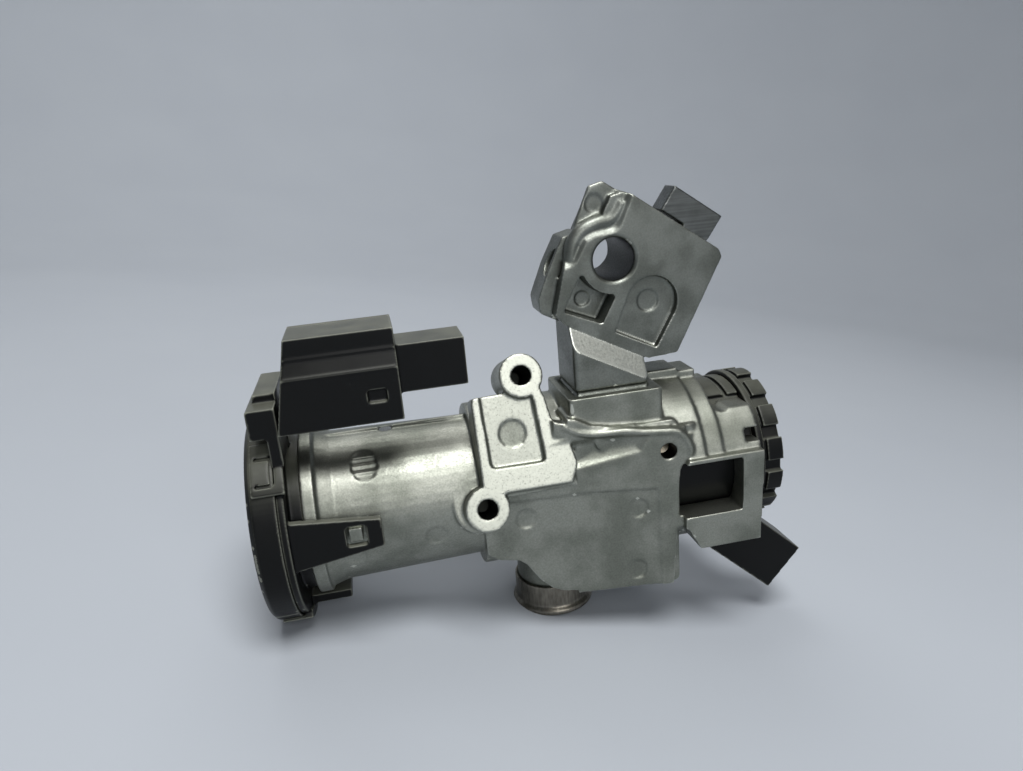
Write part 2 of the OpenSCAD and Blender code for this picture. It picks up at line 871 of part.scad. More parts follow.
module aerial_carrier() {
    color([0.09, 0.09, 0.1]) {
        difference() {
            union() {
                xrod(ring_w - wall, ring_w + eps, ring_r - wall);
                xrod(ring_w, ring_w + wall, ring_r - 0.6);
                xrod(ring_w, collar_x, sleeve_r + 5);
            }
            xrod(0, collar_x + 1, sleeve_r + 1.2);
        }
        ring_arm();
        mirror([0, 1, 0])
            ring_arm();
        for (turn = [0, 120, 240])
            rotate([turn, 0, 0])
                rim_clip();
        // short arm under the collar
        slab([ring_w, -6, -21.8], [17, 6, -collar_r - 0.2]);
        // foot that carries the box
        slab([ring_w, box_y0, 18], [box_x0, box_y1, 38.6]);
        slab([2.6, box_y0, ring_r + 0.2], [ring_w + eps, box_y1, 30.4]);
    }
}

module aerial_coil() {
    color([0.62, 0.34, 0.16])
        translate([wall + 0.2, 0, 0])
            rotate([0, 90, 0])
                rotate_extrude()
                    translate([ring_in_r + wall + coil_gap, 0])
                        square([ring_r - ring_in_r - 2 * (wall + coil_gap), 2.4]);
}

// Side view of the box up to a height, with its leaning left side
module box_side(top) {
    polygon([[box_x0, box_z0], [box_x1, box_z0], [box_x1, top],
        [box_x0 + box_lean * (top - box_z0) / (box_z1 - box_z0), top]]);
}

module box_shell() {
    xz_plate(box_y0, box_y1 - wall)
        box_side(box_z1);
    // thicker lower front, with a slope up to the upper box
    difference() {
        xz_plate(box_step_y, box_y0 + 0.5)
            box_side(box_step_z + box_slope + 1);
        translate([0, box_step_y, box_step_z])
            rotate([atan2(box_slope, box_y0 - box_step_y), 0, 0])
                slab([0, -5, 0], [box_x1 + 1, 10, 8]);
    }
    slab([box_x1 - eps, plug_y0, plug_z0], [plug_end, plug_y1, plug_z1]);
}

module aerial_box() {
    color([0.11, 0.11, 0.12])
        difference() {
            box_shell();
            slab([board_x0, box_y0 + wall, box_z0 + wall], [box_x1 - wall, box_y1, box_z1 - wall]);
            slab([box_x1 + wall, plug_y0 + wall, plug_z0 + wall], [plug_end + 1, plug_y1 - wall, plug_z1 - wall]);
            // slots for the pins
            plug_pin_set(pin_gap);
            // shallow latch slot on the front, in a panel of its own
            slab([27.6, box_step_y - 1, 29.5], [31.6, box_step_y + 0.9, 32.2]);
            for (seam = [[[24.4, box_z0 - 1], [24.8, 34.6]], [[24.4, 34.2], [box_x1 + 1, 34.6]]])
                slab([seam[0][0], box_step_y - 1, seam[0][1]], [seam[1][0], box_step_y + 0.35, seam[1][1]]);
        }
}

module box_lid() {
    color([0.1, 0.1, 0.11]) {
        xz_plate(box_y1 - wall, box_y1)
            box_side(box_z1);
        for (z = [box_z0 + wall + 0.1, box_z1 - wall - 1.3])
            slab([board_x0 + 0.1, box_y1 - wall - 2.5, z], [box_x1 - wall - 0.1, box_y1 - wall + eps, z + 1.2]);
    }
}

module circuit_board() {
    color([0.1, 0.3, 0.18])
        difference() {
            union() {
                slab([board_x0, board_y, box_z0 + wall], [box_x1 - wall, board_y + board_t, box_z1 - wall]);
                // two flat components on the front of the board
                slab([board_x0 + 1.4, board_y - 1.8, box_z0 + 6], [board_x0 + 8.4, board_y + eps, box_z0 + 13]);
                slab([board_x0 + 9.4, board_y - 1.2, box_z0 + 4.5], [board_x0 + 12.4, board_y + eps, box_z0 + 6.5]);
            }
            plug_pin_set(pin_gap);
        }
}

module plug_pin_set(grow) {
    for (i = [0:3])
        translate([box_x1 - 6 - grow, board_y + 0.2 - grow, plug_z0 + 2.2 + i * 1.8 - grow])
            cube([16 + 2 * grow, pin_t + 2 * grow, pin_t + 2 * grow]);
}

module plug_pins() {
    color([0.76, 0.66, 0.4])
        plug_pin_set(0);
}

// Switch

module switch_drum() {
    color([0.1, 0.1, 0.11])
        difference() {
            union() {
                xrod(switch_x0, switch_x1, drum_r);
                // raised pads on the open top
                for (pad = [[lip_end + 0.6, 111.4], [112.4, switch_x1 - 0.1]])
                    rotate([0, 90, 0])
                        rotate([0, 0, 180 - pad_half])
                            rotate_extrude(angle = 2 * pad_half)
                                translate([drum_r - 1, pad[0]])
                                    square([2, pad[1] - pad[0]]);
                in_plug()
                    slab([-26, -6, -6.5], [0, 6, 6.5]);
            }
            xrod(switch_x0 + 2, insulator_x0, drum_r - 3);
            xrod(insulator_x0 - eps, switch_x1 + 1, drum_r - 2);
            xrod(switch_x0 - 1, switch_x0 + 3, shaft_r + 0.4);
            in_plug()
                slab([-11, -6 + wall, -6.5 + wall], [1, 6 - wall, 6.5 - wall]);
            terminal_set(pin_gap);
        }
}

module switch_case() {
    color([0.08, 0.08, 0.09])
        difference() {
            union() {
                xrod(switch_x1, case_end, case_r);
                xrod(insulator_x1, switch_x1 + eps, drum_r - 2 - pin_gap);
            }
            for (i = [0:notch_n - 1])
                rotate([i * 360 / notch_n, 0, 0])
                    slab([switch_x1 + 1.6, case_r - 1.4, -1.5], [case_end + 1, case_r + 1, 1.5]);
            // groove round the case
            difference() {
                xrod(switch_x1 + 1.6, switch_x1 + 2.4, case_r + 1);
                xrod(switch_x1, switch_x1 + 4, case_r - 0.8);
            }
            xrod(insulator_x1 - 1, case_end - 2, drum_r - 4);
            // the plug passes under the case
            in_plug()
                slab([-30, -6.1, -7], [1, 6.1, 6.6]);
        }
}

module switch_rotor() {
    color([0.85, 0.83, 0.76])
        difference() {
            xrod(rotor_x0, rotor_x1, rotor_r);
            intersection() {
                xrod(rotor_x0 - 1, rotor_x1 + 1, shaft_r);
                slab([rotor_x0 - 2, -3.1, -6], [rotor_x1 + 2, 3.1, 6]);
            }
            contact_pockets();
        }
}

module contact_pockets() {
    for (i = [0:2])
        rotate([i * 120, 0, 0])
            translate([rotor_x1 - 5, 0, 8.4])
                rotate([0, 90, 0])
                    cylinder(h = 6, r = 2.2, $fn = 32);
}

module contact_bridges() {
    color([0.72, 0.45, 0.25])
        for (i = [0:2])
            rotate([i * 120, 0, 0])
                translate([rotor_x1 - 0.6, 0, 8.4])
                    rotate([0, 90, 0])
                        cylinder(h = 1.4, r = 2.1, $fn = 32);
}

module contact_springs() {
    color([0.6, 0.6, 0.62])
        for (i = [0:2])
            rotate([i * 120, 0, 0])
                translate([rotor_x1 - 5, 0, 8.4])
                    rotate([0, 90, 0])
                        coil(1.5, 0.35, 4.4, 4);
}

module contact_plate() {
    color([0.5, 0.36, 0.22])
        difference() {
            xrod(insulator_x0, insulator_x1, drum_r - 2 - pin_gap);
            terminal_set(pin_gap);
        }
}

module terminal_set(grow) {
    for (i = [0:3]) {
        y = -9.5 + i * 3;
        slab([strip_x0 - grow, y - 0.8 - grow, -17.4 - grow], [strip_x0 + strip_t + grow, y + 0.8 + grow, 7 + grow]);
        in_plug()
            slab([-25.4 - grow, y + 5 - 0.4 - grow, -0.4 - grow], [-6, y + 5 + 0.4 + grow, 0.4 + grow]);
    }
}

module switch_terminals() {
    color([0.74, 0.56, 0.34])
        terminal_set(0);
}

placed() lock_housing();
placed() column_block();
placed() lock_bolt();
placed() bolt_pin();
placed() bolt_slider();
placed() bolt_spring();
placed() bottom_cap();
placed() drive_shaft();
placed() shaft_plate();
placed() cylinder_sleeve();
placed() key_barrel();
placed() wafers();
placed() sleeve_pin();
placed() face_bezel();
placed() aerial_ring();
placed() aerial_carrier();
placed() aerial_coil();
placed() aerial_box();
placed() box_lid();
placed() circuit_board();
placed() plug_pins();
placed() switch_drum();
placed() switch_case();
placed() switch_rotor();
placed() contact_bridges();
placed() contact_springs();
placed() contact_plate();
placed() switch_terminals();
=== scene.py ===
"""Looks for an ignition switch with a steering column lock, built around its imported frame."""

import logging
import math
from dataclasses import dataclass
from enum import Enum

import bmesh
import bpy
from mathutils import Matrix, Vector


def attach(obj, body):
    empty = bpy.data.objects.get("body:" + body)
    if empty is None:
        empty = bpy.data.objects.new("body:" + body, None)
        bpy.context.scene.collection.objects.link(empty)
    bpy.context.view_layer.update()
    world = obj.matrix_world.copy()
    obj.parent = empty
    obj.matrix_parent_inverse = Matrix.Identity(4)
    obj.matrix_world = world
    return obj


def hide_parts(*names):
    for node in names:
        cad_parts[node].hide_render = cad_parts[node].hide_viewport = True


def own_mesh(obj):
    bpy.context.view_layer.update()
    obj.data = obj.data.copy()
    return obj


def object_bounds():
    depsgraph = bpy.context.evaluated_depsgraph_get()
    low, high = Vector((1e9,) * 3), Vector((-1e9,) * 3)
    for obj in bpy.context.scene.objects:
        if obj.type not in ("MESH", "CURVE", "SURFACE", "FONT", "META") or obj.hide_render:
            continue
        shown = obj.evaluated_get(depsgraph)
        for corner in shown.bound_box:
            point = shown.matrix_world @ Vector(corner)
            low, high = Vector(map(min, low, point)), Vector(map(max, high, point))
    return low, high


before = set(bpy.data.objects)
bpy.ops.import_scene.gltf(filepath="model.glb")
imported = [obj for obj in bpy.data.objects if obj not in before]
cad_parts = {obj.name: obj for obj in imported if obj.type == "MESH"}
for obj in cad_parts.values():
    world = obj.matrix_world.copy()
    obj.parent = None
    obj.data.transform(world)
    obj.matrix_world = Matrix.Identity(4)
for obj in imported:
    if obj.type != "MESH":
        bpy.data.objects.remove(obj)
CAD_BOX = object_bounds()

LOG = logging.getLogger("ignition_switch")
MM = 0.001
# key axis coordinates of the column bore, which is the frame's origin, in millimetres
BORE = Vector((84.4, 0.0, 51.8))
# vertices of a CAD mesh closer than this are one, in millimetres
MERGE_MM = 0.002

Place = tuple[float, float, float]
Span = tuple[float, float]


class Body(Enum):
    """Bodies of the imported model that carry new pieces."""

    LOCK = "lock"
    KEY = "key_drive"
    BOLT = "bolt"


class Slot(Enum):
    """Material slots of the record, one named with each softened piece."""

    DIE_CAST = "die_cast"
    BOLT_STEEL = "bolt_steel"
    SPRING_STEEL = "spring_steel"
    CAP_STEEL = "cap_steel"
    CYLINDER_ZINC = "cylinder_zinc"
    BLACK_PLASTIC = "black_plastic"


def linear(code: str) -> tuple[float, float, float, float]:
    """Turns an sRGB hex value into linear colour.

    Args:
        code: Colour such as "#A0A0A0".

    Returns:
        Linear red, green, blue and an alpha of 1.
    """
    parts = [int(code[i : i + 2], 16) / 255 for i in (1, 3, 5)]
    red, green, blue = (p / 12.92 if p <= 0.04045 else ((p + 0.055) / 1.055) ** 2.4 for p in parts)
    return red, green, blue, 1.0


def per_mm(size: float) -> float:
    """Finds the texture scale for a pattern.

    Args:
        size: Size of the pattern in millimetres.

    Returns:
        The scale.
    """
    return 1.0 / (size * MM)


def plug(tree: bpy.types.NodeTree, node: bpy.types.Node, inputs: dict) -> None:
    """Fills a node's inputs.

    Args:
        tree: Node tree that the node is in.
        node: Node whose inputs are filled.
        inputs: Socket name or index to a value or to another node's output.
    """
    for key, value in inputs.items():
        if isinstance(value, bpy.types.NodeSocket):
            tree.links.new(value, node.inputs[key])
        else:
            node.inputs[key].default_value = value


def add(
    tree: bpy.types.NodeTree, kind: str, inputs: dict | None = None, **settings: object
) -> bpy.types.Node:
    """Adds a node with its settings and links.

    Args:
        tree: Node tree that takes the node.
        kind: Node type.
        inputs: Socket name or index to a value or to another node's output.
        settings: Properties of the node.

    Returns:
        The new node.
    """
    node = tree.nodes.new(kind)
    for key, value in settings.items():
        setattr(node, key, value)
    plug(tree, node, inputs or {})
    return node


NOISE, RANGE, MIX, BUMP = "ShaderNodeTexNoise", "ShaderNodeMapRange", "ShaderNodeMix", "ShaderNodeBump"
# sockets of a colour mix
SHARE, FIRST, SECOND, RESULT = 0, 6, 7, 2
SOFT = {"interpolation_type": "SMOOTHSTEP"}
COLOUR = {"data_type": "RGBA"}
SHADE = {**COLOUR, "blend_type": "MULTIPLY"}
# most values of a noise texture lie in the first span, and most sums of two in the second
NOISE_SPAN = {"From Min": 0.3, "From Max": 0.7}
SUM_SPAN = {"From Min": 0.7, "From Max": 1.3}
# pointiness of pale edges, partly rubbed and partly painted highlight, and of recesses with grime and painted
# shade, and how far they show
CAST_EDGE_WEAR_AND_HIGHLIGHT = {"From Min": 0.515, "From Max": 0.585, "To Max": 0.8}
CAST_RECESS_GRIME_AND_SHADE = {"From Min": 0.485, "From Max": 0.42, "To Max": 0.55}
PLASTIC_EDGE_WEAR_AND_HIGHLIGHT = {"From Min": 0.512, "From Max": 0.565, "To Max": 0.7}
# clouds and sparkle of the cast skin, and the dark pores that milling opens in it
CAST_CLOUD = {"From Min": 0.36, "From Max": 0.64}
CAST_SPARKLE = {"To Min": 0.88, "To Max": 1.1}
CAST_PORES = {"From Min": 0.3, "From Max": 0.42, "To Min": 0.72, "To Max": 1.0}
# how far a face looks up where the dust and painted sheen start and where they are thickest
UPWARD = {"From Min": 0.35, "From Max": 1.0}
# tracks lie along the edges of the cells
TRACK_LINE = {"From Min": 0.05, "From Max": 0.12, "To Min": 1.0, "To Max": 0.0}


@dataclass(frozen=True)
class Finish:
    """A surface finish that becomes one node material."""

    name: str

    def material(self) -> bpy.types.Material:
        """Finds this finish's material, which is made on its first use.

        Returns:
            The material.
        """
        found = bpy.data.materials.get(self.name)
        if found:
            return found
        made = bpy.data.materials.new(self.name)
        made.use_nodes = True
        made.node_tree.nodes.clear()
        shader = add(made.node_tree, "ShaderNodeBsdfPrincipled")
        add(made.node_tree, "ShaderNodeOutputMaterial", {"Surface": shader.outputs[0]})
        plug(made.node_tree, shader, self.surface(made.node_tree))
        return made

    def surface(self, tree: bpy.types.NodeTree) -> dict[str, object]:
        """Adds the nodes of this finish.

        Args:
            tree: Tree of the new material.

        Returns:
            What goes into the surface shader.
        """
        raise NotImplementedError


@dataclass(frozen=True)
class CastAlloy(Finish):
    """Die-cast zinc alloy left as cast: a dull grey skin with a granular sparkle and pale edges, partly rubbed
    and partly painted highlight.
    """

    body: str
    dull: str
    # pale edges: partly rubbed, partly a painted highlight
    edge_wear_and_highlight: str
    # bright milled metal, also used as the painted highlight on a lit facet
    milled_and_highlit: str
    # painted shade on the walls of holes
    hole_shade: str = "#2B2C29"
    # darker in recesses: grime, with painted shade where shade falls
    recess_grime_and_shade: str = "#4A4C49"
    cloud_mm: float = 11.0
    # real grain is near 0.1 mm, drawn coarser so that it shows
    grain_mm: float = 0.4
    relief_mm: float = 0.025
    relief_share: float = 0.55
    smooth: float = 0.36
    rough: float = 0.5

    def surface(self, tree: bpy.types.NodeTree) -> dict[str, object]:
        """Adds the nodes of this finish.

        Args:
            tree: Tree of the new material.

        Returns:
            What goes into the surface shader.
        """
        where = add(tree, "ShaderNodeTexCoord").outputs["Object"]
        edge = add(tree, "ShaderNodeNewGeometry").outputs["Pointiness"]
        # milled faces, and the painted highlight on the block's neck facet
        milled_and_highlit = add(tree, "ShaderNodeAttribute", attribute_name="milled_and_highlit").outputs["Fac"]
        shaded = add(tree, "ShaderNodeAttribute", attribute_name="shaded").outputs["Fac"]
        cloud = add(tree, NOISE, {"Vector": where, "Scale": per_mm(self.cloud_mm), "Detail": 5.0}).outputs[0]
        grain = add(tree, NOISE, {"Vector": where, "Scale": per_mm(self.grain_mm), "Detail": 3.0}).outputs[0]
        patch = add(tree, RANGE, {"Value": cloud, **CAST_CLOUD}, **SOFT).outputs[0]
        sparkle = add(tree, RANGE, {"Value": grain, **NOISE_SPAN, **CAST_SPARKLE}).outputs[0]
        # edges paler: partly rubbed, partly a painted highlight
        wear_and_highlight_share = add(tree, RANGE, {"Value": edge, **CAST_EDGE_WEAR_AND_HIGHLIGHT}, **SOFT).outputs[0]
        # recesses darker: grime, with painted shade
        recess_share = add(tree, RANGE, {"Value": edge, **CAST_RECESS_GRIME_AND_SHADE}, **SOFT).outputs[0]
        pores = add(tree, RANGE, {"Value": grain, **CAST_PORES}).outputs[0]
        gloss = add(tree, RANGE, {"Value": grain, **NOISE_SPAN, "To Min": self.rough, "To Max": self.smooth})
        skin = add(tree, MIX, {SHARE: patch, FIRST: linear(self.dull), SECOND: linear(self.body)}, **COLOUR)
        grainy = add(tree, MIX, {SHARE: 1.0, FIRST: skin.outputs[RESULT], SECOND: sparkle}, **SHADE)
        edge_wear_and_highlight = add(
            tree, MIX, {SHARE: wear_and_highlight_share, FIRST: grainy.outputs[RESULT], SECOND: linear(self.edge_wear_and_highlight)}, **COLOUR
        )
        recess_darkened = add(
            tree, MIX, {SHARE: recess_share, FIRST: edge_wear_and_highlight.outputs[RESULT], SECOND: linear(self.recess_grime_and_shade)}, **COLOUR
        )
        # milled colour, also the painted highlight of the neck facet
        milled_and_highlit_tone = add(tree, MIX, {SHARE: 1.0, FIRST: linear(self.milled_and_highlit), SECOND: pores}, **SHADE)
        faced = add(
            tree, MIX, {SHARE: milled_and_highlit, FIRST: recess_darkened.outputs[RESULT], SECOND: milled_and_highlit_tone.outputs[RESULT]}, **COLOUR
        )
        # hole walls get painted shade
        colour = add(
            tree, MIX, {SHARE: shaded, FIRST: faced.outputs[RESULT], SECOND: linear(self.hole_shade)}, **COLOUR
        )
        bump = add(
            tree, BUMP, {"Strength": self.relief_share, "Distance": self.relief_mm * MM, "Height": grain}
        )
        return {
            "Base Color": colour.outputs[RESULT],
            "Roughness": gloss.outputs[0],
            "Normal": bump.outputs[0],
            "Metallic": 1.0,
        }


@dataclass(frozen=True)
class MouldedPlastic(Finish):
    """Moulded plastic from a spark-eroded tool: satin, with pale edges, partly rubbed and partly painted
    highlight, and dust with a painted sheen on what faces up.
    """

    body: str
    # paler on what faces up: dust, with a painted sheen
    dust_and_sheen: str
    # pale edges: partly rubbed, partly a painted highlight
    edge_wear_and_highlight: str
    # the real spark texture is near 0.1 mm, drawn coarser so that it shows
    texture_mm: float = 0.4
    cloud_mm: float = 7.0
    relief_mm: float = 0.02
    relief_share: float = 0.4
    dust_and_sheen_most: float = 0.6
    smooth: float = 0.3
    rough: float = 0.42
    sheen: float = 0.16

    def surface(self, tree: bpy.types.NodeTree) -> dict[str, object]:
        """Adds the nodes of this finish.

        Args:
            tree: Tree of the new material.

        Returns:
            What goes into the surface shader.
        """
        place = add(tree, "ShaderNodeTexCoord")
        where = place.outputs["Object"]
        edge = add(tree, "ShaderNodeNewGeometry").outputs["Pointiness"]
        facing = add(tree, "ShaderNodeSeparateXYZ", {"Vector": place.outputs["Normal"]}).outputs["Z"]
        cloud = add(tree, NOISE, {"Vector": where, "Scale": per_mm(self.cloud_mm), "Detail": 6.0}).outputs[0]
        spark = add(tree, NOISE, {"Vector": where, "Scale": per_mm(self.texture_mm), "Detail": 2.0}).outputs[0]
        # tops paler: dust, with a painted sheen
        upward = add(tree, RANGE, {"Value": facing, **UPWARD, "To Max": self.dust_and_sheen_most}, **SOFT).outputs[0]
        dust_and_sheen_share = add(tree, "ShaderNodeMath", {0: upward, 1: cloud}, operation="MULTIPLY").outputs[0]
        dust_and_sheen_tone = add(
            tree, MIX, {SHARE: dust_and_sheen_share, FIRST: linear(self.body), SECOND: linear(self.dust_and_sheen)}, **COLOUR
        )
        # edges paler: partly rubbed, partly a painted highlight
        wear_and_highlight_share = add(tree, RANGE, {"Value": edge, **PLASTIC_EDGE_WEAR_AND_HIGHLIGHT}, **SOFT).outputs[0]
        colour = add(
            tree, MIX, {SHARE: wear_and_highlight_share, FIRST: dust_and_sheen_tone.outputs[RESULT], SECOND: linear(self.edge_wear_and_highlight)}, **COLOUR
        )
        gloss = add(tree, RANGE, {"Value": cloud, **NOISE_SPAN, "To Min": self.smooth, "To Max": self.rough})
        bump = add(
            tree, BUMP, {"Strength": self.relief_share, "Distance": self.relief_mm * MM, "Height": spark}
        )
        return {
            "Base Color": colour.outputs[RESULT],
            "Roughness": gloss.outputs[0],
            "Normal": bump.outputs[0],
            "Specular IOR Level": self.sheen,
        }


@dataclass(frozen=True)
class WorkedMetal(Finish):
    """Machined, drawn or pressed metal with tool lines along one direction."""

    body: str
    shade: str
    # how the lines lie: a small stretch runs along that axis
    stretch: Place = (1.0, 1.0, 1.0)
    turn_deg: Place = (0.0, 0.0, 0.0)
    line_mm: float = 0.35
    cloud_mm: float = 6.0
    relief_mm: float = 0.02
    relief_share: float = 0.5
    smooth: float = 0.26
    rough: float = 0.42

    def surface(self, tree: bpy.types.NodeTree) -> dict[str, object]:
        """Adds the nodes of this finish.

        Args:
            tree: Tree of the new material.

        Returns:
            What goes into the surface shader.
        """
        where = add(tree, "ShaderNodeTexCoord").outputs["Object"]
        turn = [math.radians(a) for a in self.turn_deg]
        laid = add(tree, "ShaderNodeMapping", {"Vector": where, "Rotation": turn, "Scale": self.stretch})
        lines = add(
            tree, NOISE, {"Vector": laid.outputs[0], "Scale": per_mm(self.line_mm), "Detail": 2.0}
        ).outputs[0]
        cloud = add(tree, NOISE, {"Vector": where, "Scale": per_mm(self.cloud_mm), "Detail": 5.0}).outputs[0]
        mixed = add(tree, "ShaderNodeMath", {0: lines, 1: cloud}, operation="ADD").outputs[0]
        tone = add(tree, RANGE, {"Value": mixed, **SUM_SPAN}).outputs[0]
        colour = add(tree, MIX, {SHARE: tone, FIRST: linear(self.shade), SECOND: linear(self.body)}, **COLOUR)
        gloss = add(tree, RANGE, {"Value": mixed, **SUM_SPAN, "To Min": self.rough, "To Max": self.smooth})
        bump = add(
            tree, BUMP, {"Strength": self.relief_share, "Distance": self.relief_mm * MM, "Height": lines}
        )
        return {
            "Base Color": colour.outputs[RESULT],
            "Roughness": gloss.outputs[0],
            "Normal": bump.outputs[0],
            "Metallic": 1.0,
        }


@dataclass(frozen=True)
class Laminate(Finish):
    """Pressed fibre board: a lacquered face with tracks or fibres showing through."""

    body: str
    track: str
    track_mm: float
    rough: float
    scatter: float = 0.4
    relief_mm: float = 0.03
    relief_share: float = 0.3

    def surface(self, tree: bpy.types.NodeTree) -> dict[str, object]:
        """Adds the nodes of this finish.

        Args:
            tree: Tree of the new material.

        Returns:
            What goes into the surface shader.
        """
        where = add(tree, "ShaderNodeTexCoord").outputs["Object"]
        cells = add(
            tree,
            "ShaderNodeTexVoronoi",
            {"Vector": where, "Scale": per_mm(self.track_mm), "Randomness": self.scatter},
            feature="DISTANCE_TO_EDGE",
        )
        line = add(tree, RANGE, {"Value": cells.outputs[0], **TRACK_LINE}).outputs[0]
        colour = add(tree, MIX, {SHARE: line, FIRST: linear(self.body), SECOND: linear(self.track)}, **COLOUR)
        bump = add(
            tree, BUMP, {"Strength": self.relief_share, "Distance": self.relief_mm * MM, "Height": line}
        )
        return {
            "Base Color": colour.outputs[RESULT],
            "Roughness": self.rough,
            "Normal": bump.outputs[0],
        }


@dataclass(frozen=True)
class Stage(Finish):
    """Plain pale paper for the floor."""

    body: str
    tint: str
    cloud_mm: float = 90.0
    rough: float = 0.75
    sheen: float = 0.2

    def surface(self, tree: bpy.types.NodeTree) -> dict[str, object]:
        """Adds the nodes of this finish.

        Args:
            tree: Tree of the new material.

        Returns:
            What goes into the surface shader.
        """
        where = add(tree, "ShaderNodeTexCoord").outputs["Object"]
        cloud = add(tree, NOISE, {"Vector": where, "Scale": per_mm(self.cloud_mm), "Detail": 2.0}).outputs[0]
        colour = add(tree, MIX, {SHARE: cloud, FIRST: linear(self.body), SECOND: linear(self.tint)}, **COLOUR)
        return {
            "Base Color": colour.outputs[RESULT],
            "Roughness": self.rough,
            "Specular IOR Level": self.sheen,
        }


# the bolt leans by this angle from upright, and its milling lines lie along it
BOLT_LEAN = 35.0
ROUND_KEY_AXIS = (1.0, 0.06, 0.06)
# grey as-cast skin with a fine sparkle, bright where it is milled and along edges, which are partly rubbed and
# partly painted highlight
CAST_ZINC = CastAlloy("die_cast_zinc", "#93958C", "#777A71", "#D2D3C8", "#B6B8AD")
# the block's skin is darker, with smaller clouds; its milled colour serves only as the painted highlight on
# the neck facet
CAST_BLOCK = CastAlloy("die_cast_block", "#7C7F79", "#646761", "#CDCEC4", "#C9CBC2", cloud_mm=8.0)
# satin black with dust and a painted sheen on what faces up, pale along edges, partly rubbed and partly
# painted highlight
BLACK_NYLON = MouldedPlastic("black_glass_filled_nylon", "#090A0A", "#8C8E80", "#83857A")
# satin black with less dust and painted sheen, and darker edges, partly rubbed and partly painted highlight
BLACK_PBT = MouldedPlastic("black_switch_plastic", "#090A0A", "#84867A", "#6A6C63", dust_and_sheen_most=0.5)
# soft warm white, paler on top and along edges: dust and wear, with painted sheen and highlight
CREAM_ACETAL = MouldedPlastic("cream_acetal", "#D6CFBA", "#E4DFD0", "#ECE8DC", dust_and_sheen_most=0.1)
# grey bar with milling lines along its length
MILLED_STEEL = WorkedMetal(
    "milled_bolt_steel", "#7D7F7D", "#505351", (0.03, 1.0, 1.0), (0.0, -BOLT_LEAN, 0.0), line_mm=0.5
)
# warm grey sheet with drawing lines down its sides
PRESSED_STEEL = WorkedMetal("pressed_cap_steel", "#8E897E", "#66625A", (1.0, 1.0, 0.2), line_mm=0.6)
# pale grey with turning lines round the key axis
TURNED_STEEL = WorkedMetal("turned_steel", "#9A9B9A", "#737574", ROUND_KEY_AXIS)
# even pale grey wire
SPRING_WIRE = WorkedMetal("drawn_spring_wire", "#A4A5A6", "#7A7B7D")
# warm pale grey with turning lines round the key axis
TURNED_ZINC = WorkedMetal("turned_cylinder_zinc", "#B9B1A0", "#948C7C", ROUND_KEY_AXIS)
# yellow sheet with rolling lines across the key axis
STAMPED_BRASS = WorkedMetal("stamped_brass", "#C9A75E", "#A5863F", (1.0, 0.1, 1.0))
# redder brass with drawing lines along the key axis
CONTACT_BRASS = WorkedMetal("contact_brass", "#C49A62", "#9C7644", (0.1, 1.0, 1.0))
# brown-red lacquered turns round the key axis
WOUND_COPPER = WorkedMetal("enamelled_copper", "#B06A36", "#7C4320", (1.0, 0.04, 0.04), line_mm=0.25)
# dark green lacquer with paler tracks
GREEN_BOARD = Laminate("green_circuit_board", "#1E4B2F", "#3C7A4D", track_mm=1.8, rough=0.35)
# brown board with paler fibres
BROWN_BOARD = Laminate("brown_insulator_board", "#7A5836", "#8E6B46", track_mm=0.7, rough=0.5)
# even pale grey with hardly a cloud
PALE_PAPER = Stage("pale_paper", "#A3A8AF", "#A8ADB3")


def settle(obj: bpy.types.Object) -> None:
    """Turns an object's modifiers into its plain mesh.

    Args:
        obj: Object whose modifiers are finished.
    """
    graph = bpy.context.evaluated_depsgraph_get()
    mesh = bpy.data.meshes.new_from_object(obj.evaluated_get(graph), depsgraph=graph)
    obj.modifiers.clear()
    worn = obj.data
    obj.data = mesh
    bpy.data.meshes.remove(worn)


def make_object(name: str, mesh: bpy.types.Mesh) -> bpy.types.Object:
    """Links a new object for a mesh.

    Args:
        name: Piece name.
        mesh: Its mesh.

    Returns:
        The object, at the origin.
    """
    made = bpy.data.objects.new(name, mesh)
    bpy.context.scene.collection.objects.link(made)
    return made


def discard(obj: bpy.types.Object) -> None:
    """Removes a helper object and its mesh.

    Args:
        obj: Object that isn't needed any more.
    """
    mesh = obj.data
    bpy.data.objects.remove(obj)
    bpy.data.meshes.remove(mesh)


def to_mesh(work: bmesh.types.BMesh, name: str) -> bpy.types.Mesh:
    """Makes a new mesh of a finished work mesh.

    Args:
        work: Work mesh, which is freed.
        name: Name of the new mesh.

    Returns:
        The new mesh.
    """
    mesh = bpy.data.meshes.new(name)
    work.to_mesh(mesh)
    work.free()
    return mesh


class Form:
    """A closed form that is added to a moulding or cut from it, in key axis millimetres."""

    def pour(self, work: bmesh.types.BMesh) -> None:
        """Adds the form to a mesh that is in the frame's millimetres.

        Args:
            work: Mesh that takes the form.
        """
        raise NotImplementedError

    def solid(self, name: str) -> bpy.types.Object:
        """Makes a helper object of the form alone.

        Args:
            name: Name of the helper.

        Returns:
            The object.
        """
        work = bmesh.new()
        self.pour(work)
        return make_object(name, to_mesh(work, name))


def carve(obj: bpy.types.Object, forms: tuple[Form, ...]) -> None:
    """Cuts forms from an object whose mesh is in millimetres.

    Args:
        obj: Object that is cut.
        forms: What is taken away, one after the other.
    """
    for form in forms:
        tool = form.solid("tool")
        cut = obj.modifiers.new("cut", "BOOLEAN")
        cut.operation = "DIFFERENCE"
        cut.solver = "EXACT"
        cut.object = tool
        settle(obj)
        discard(tool)


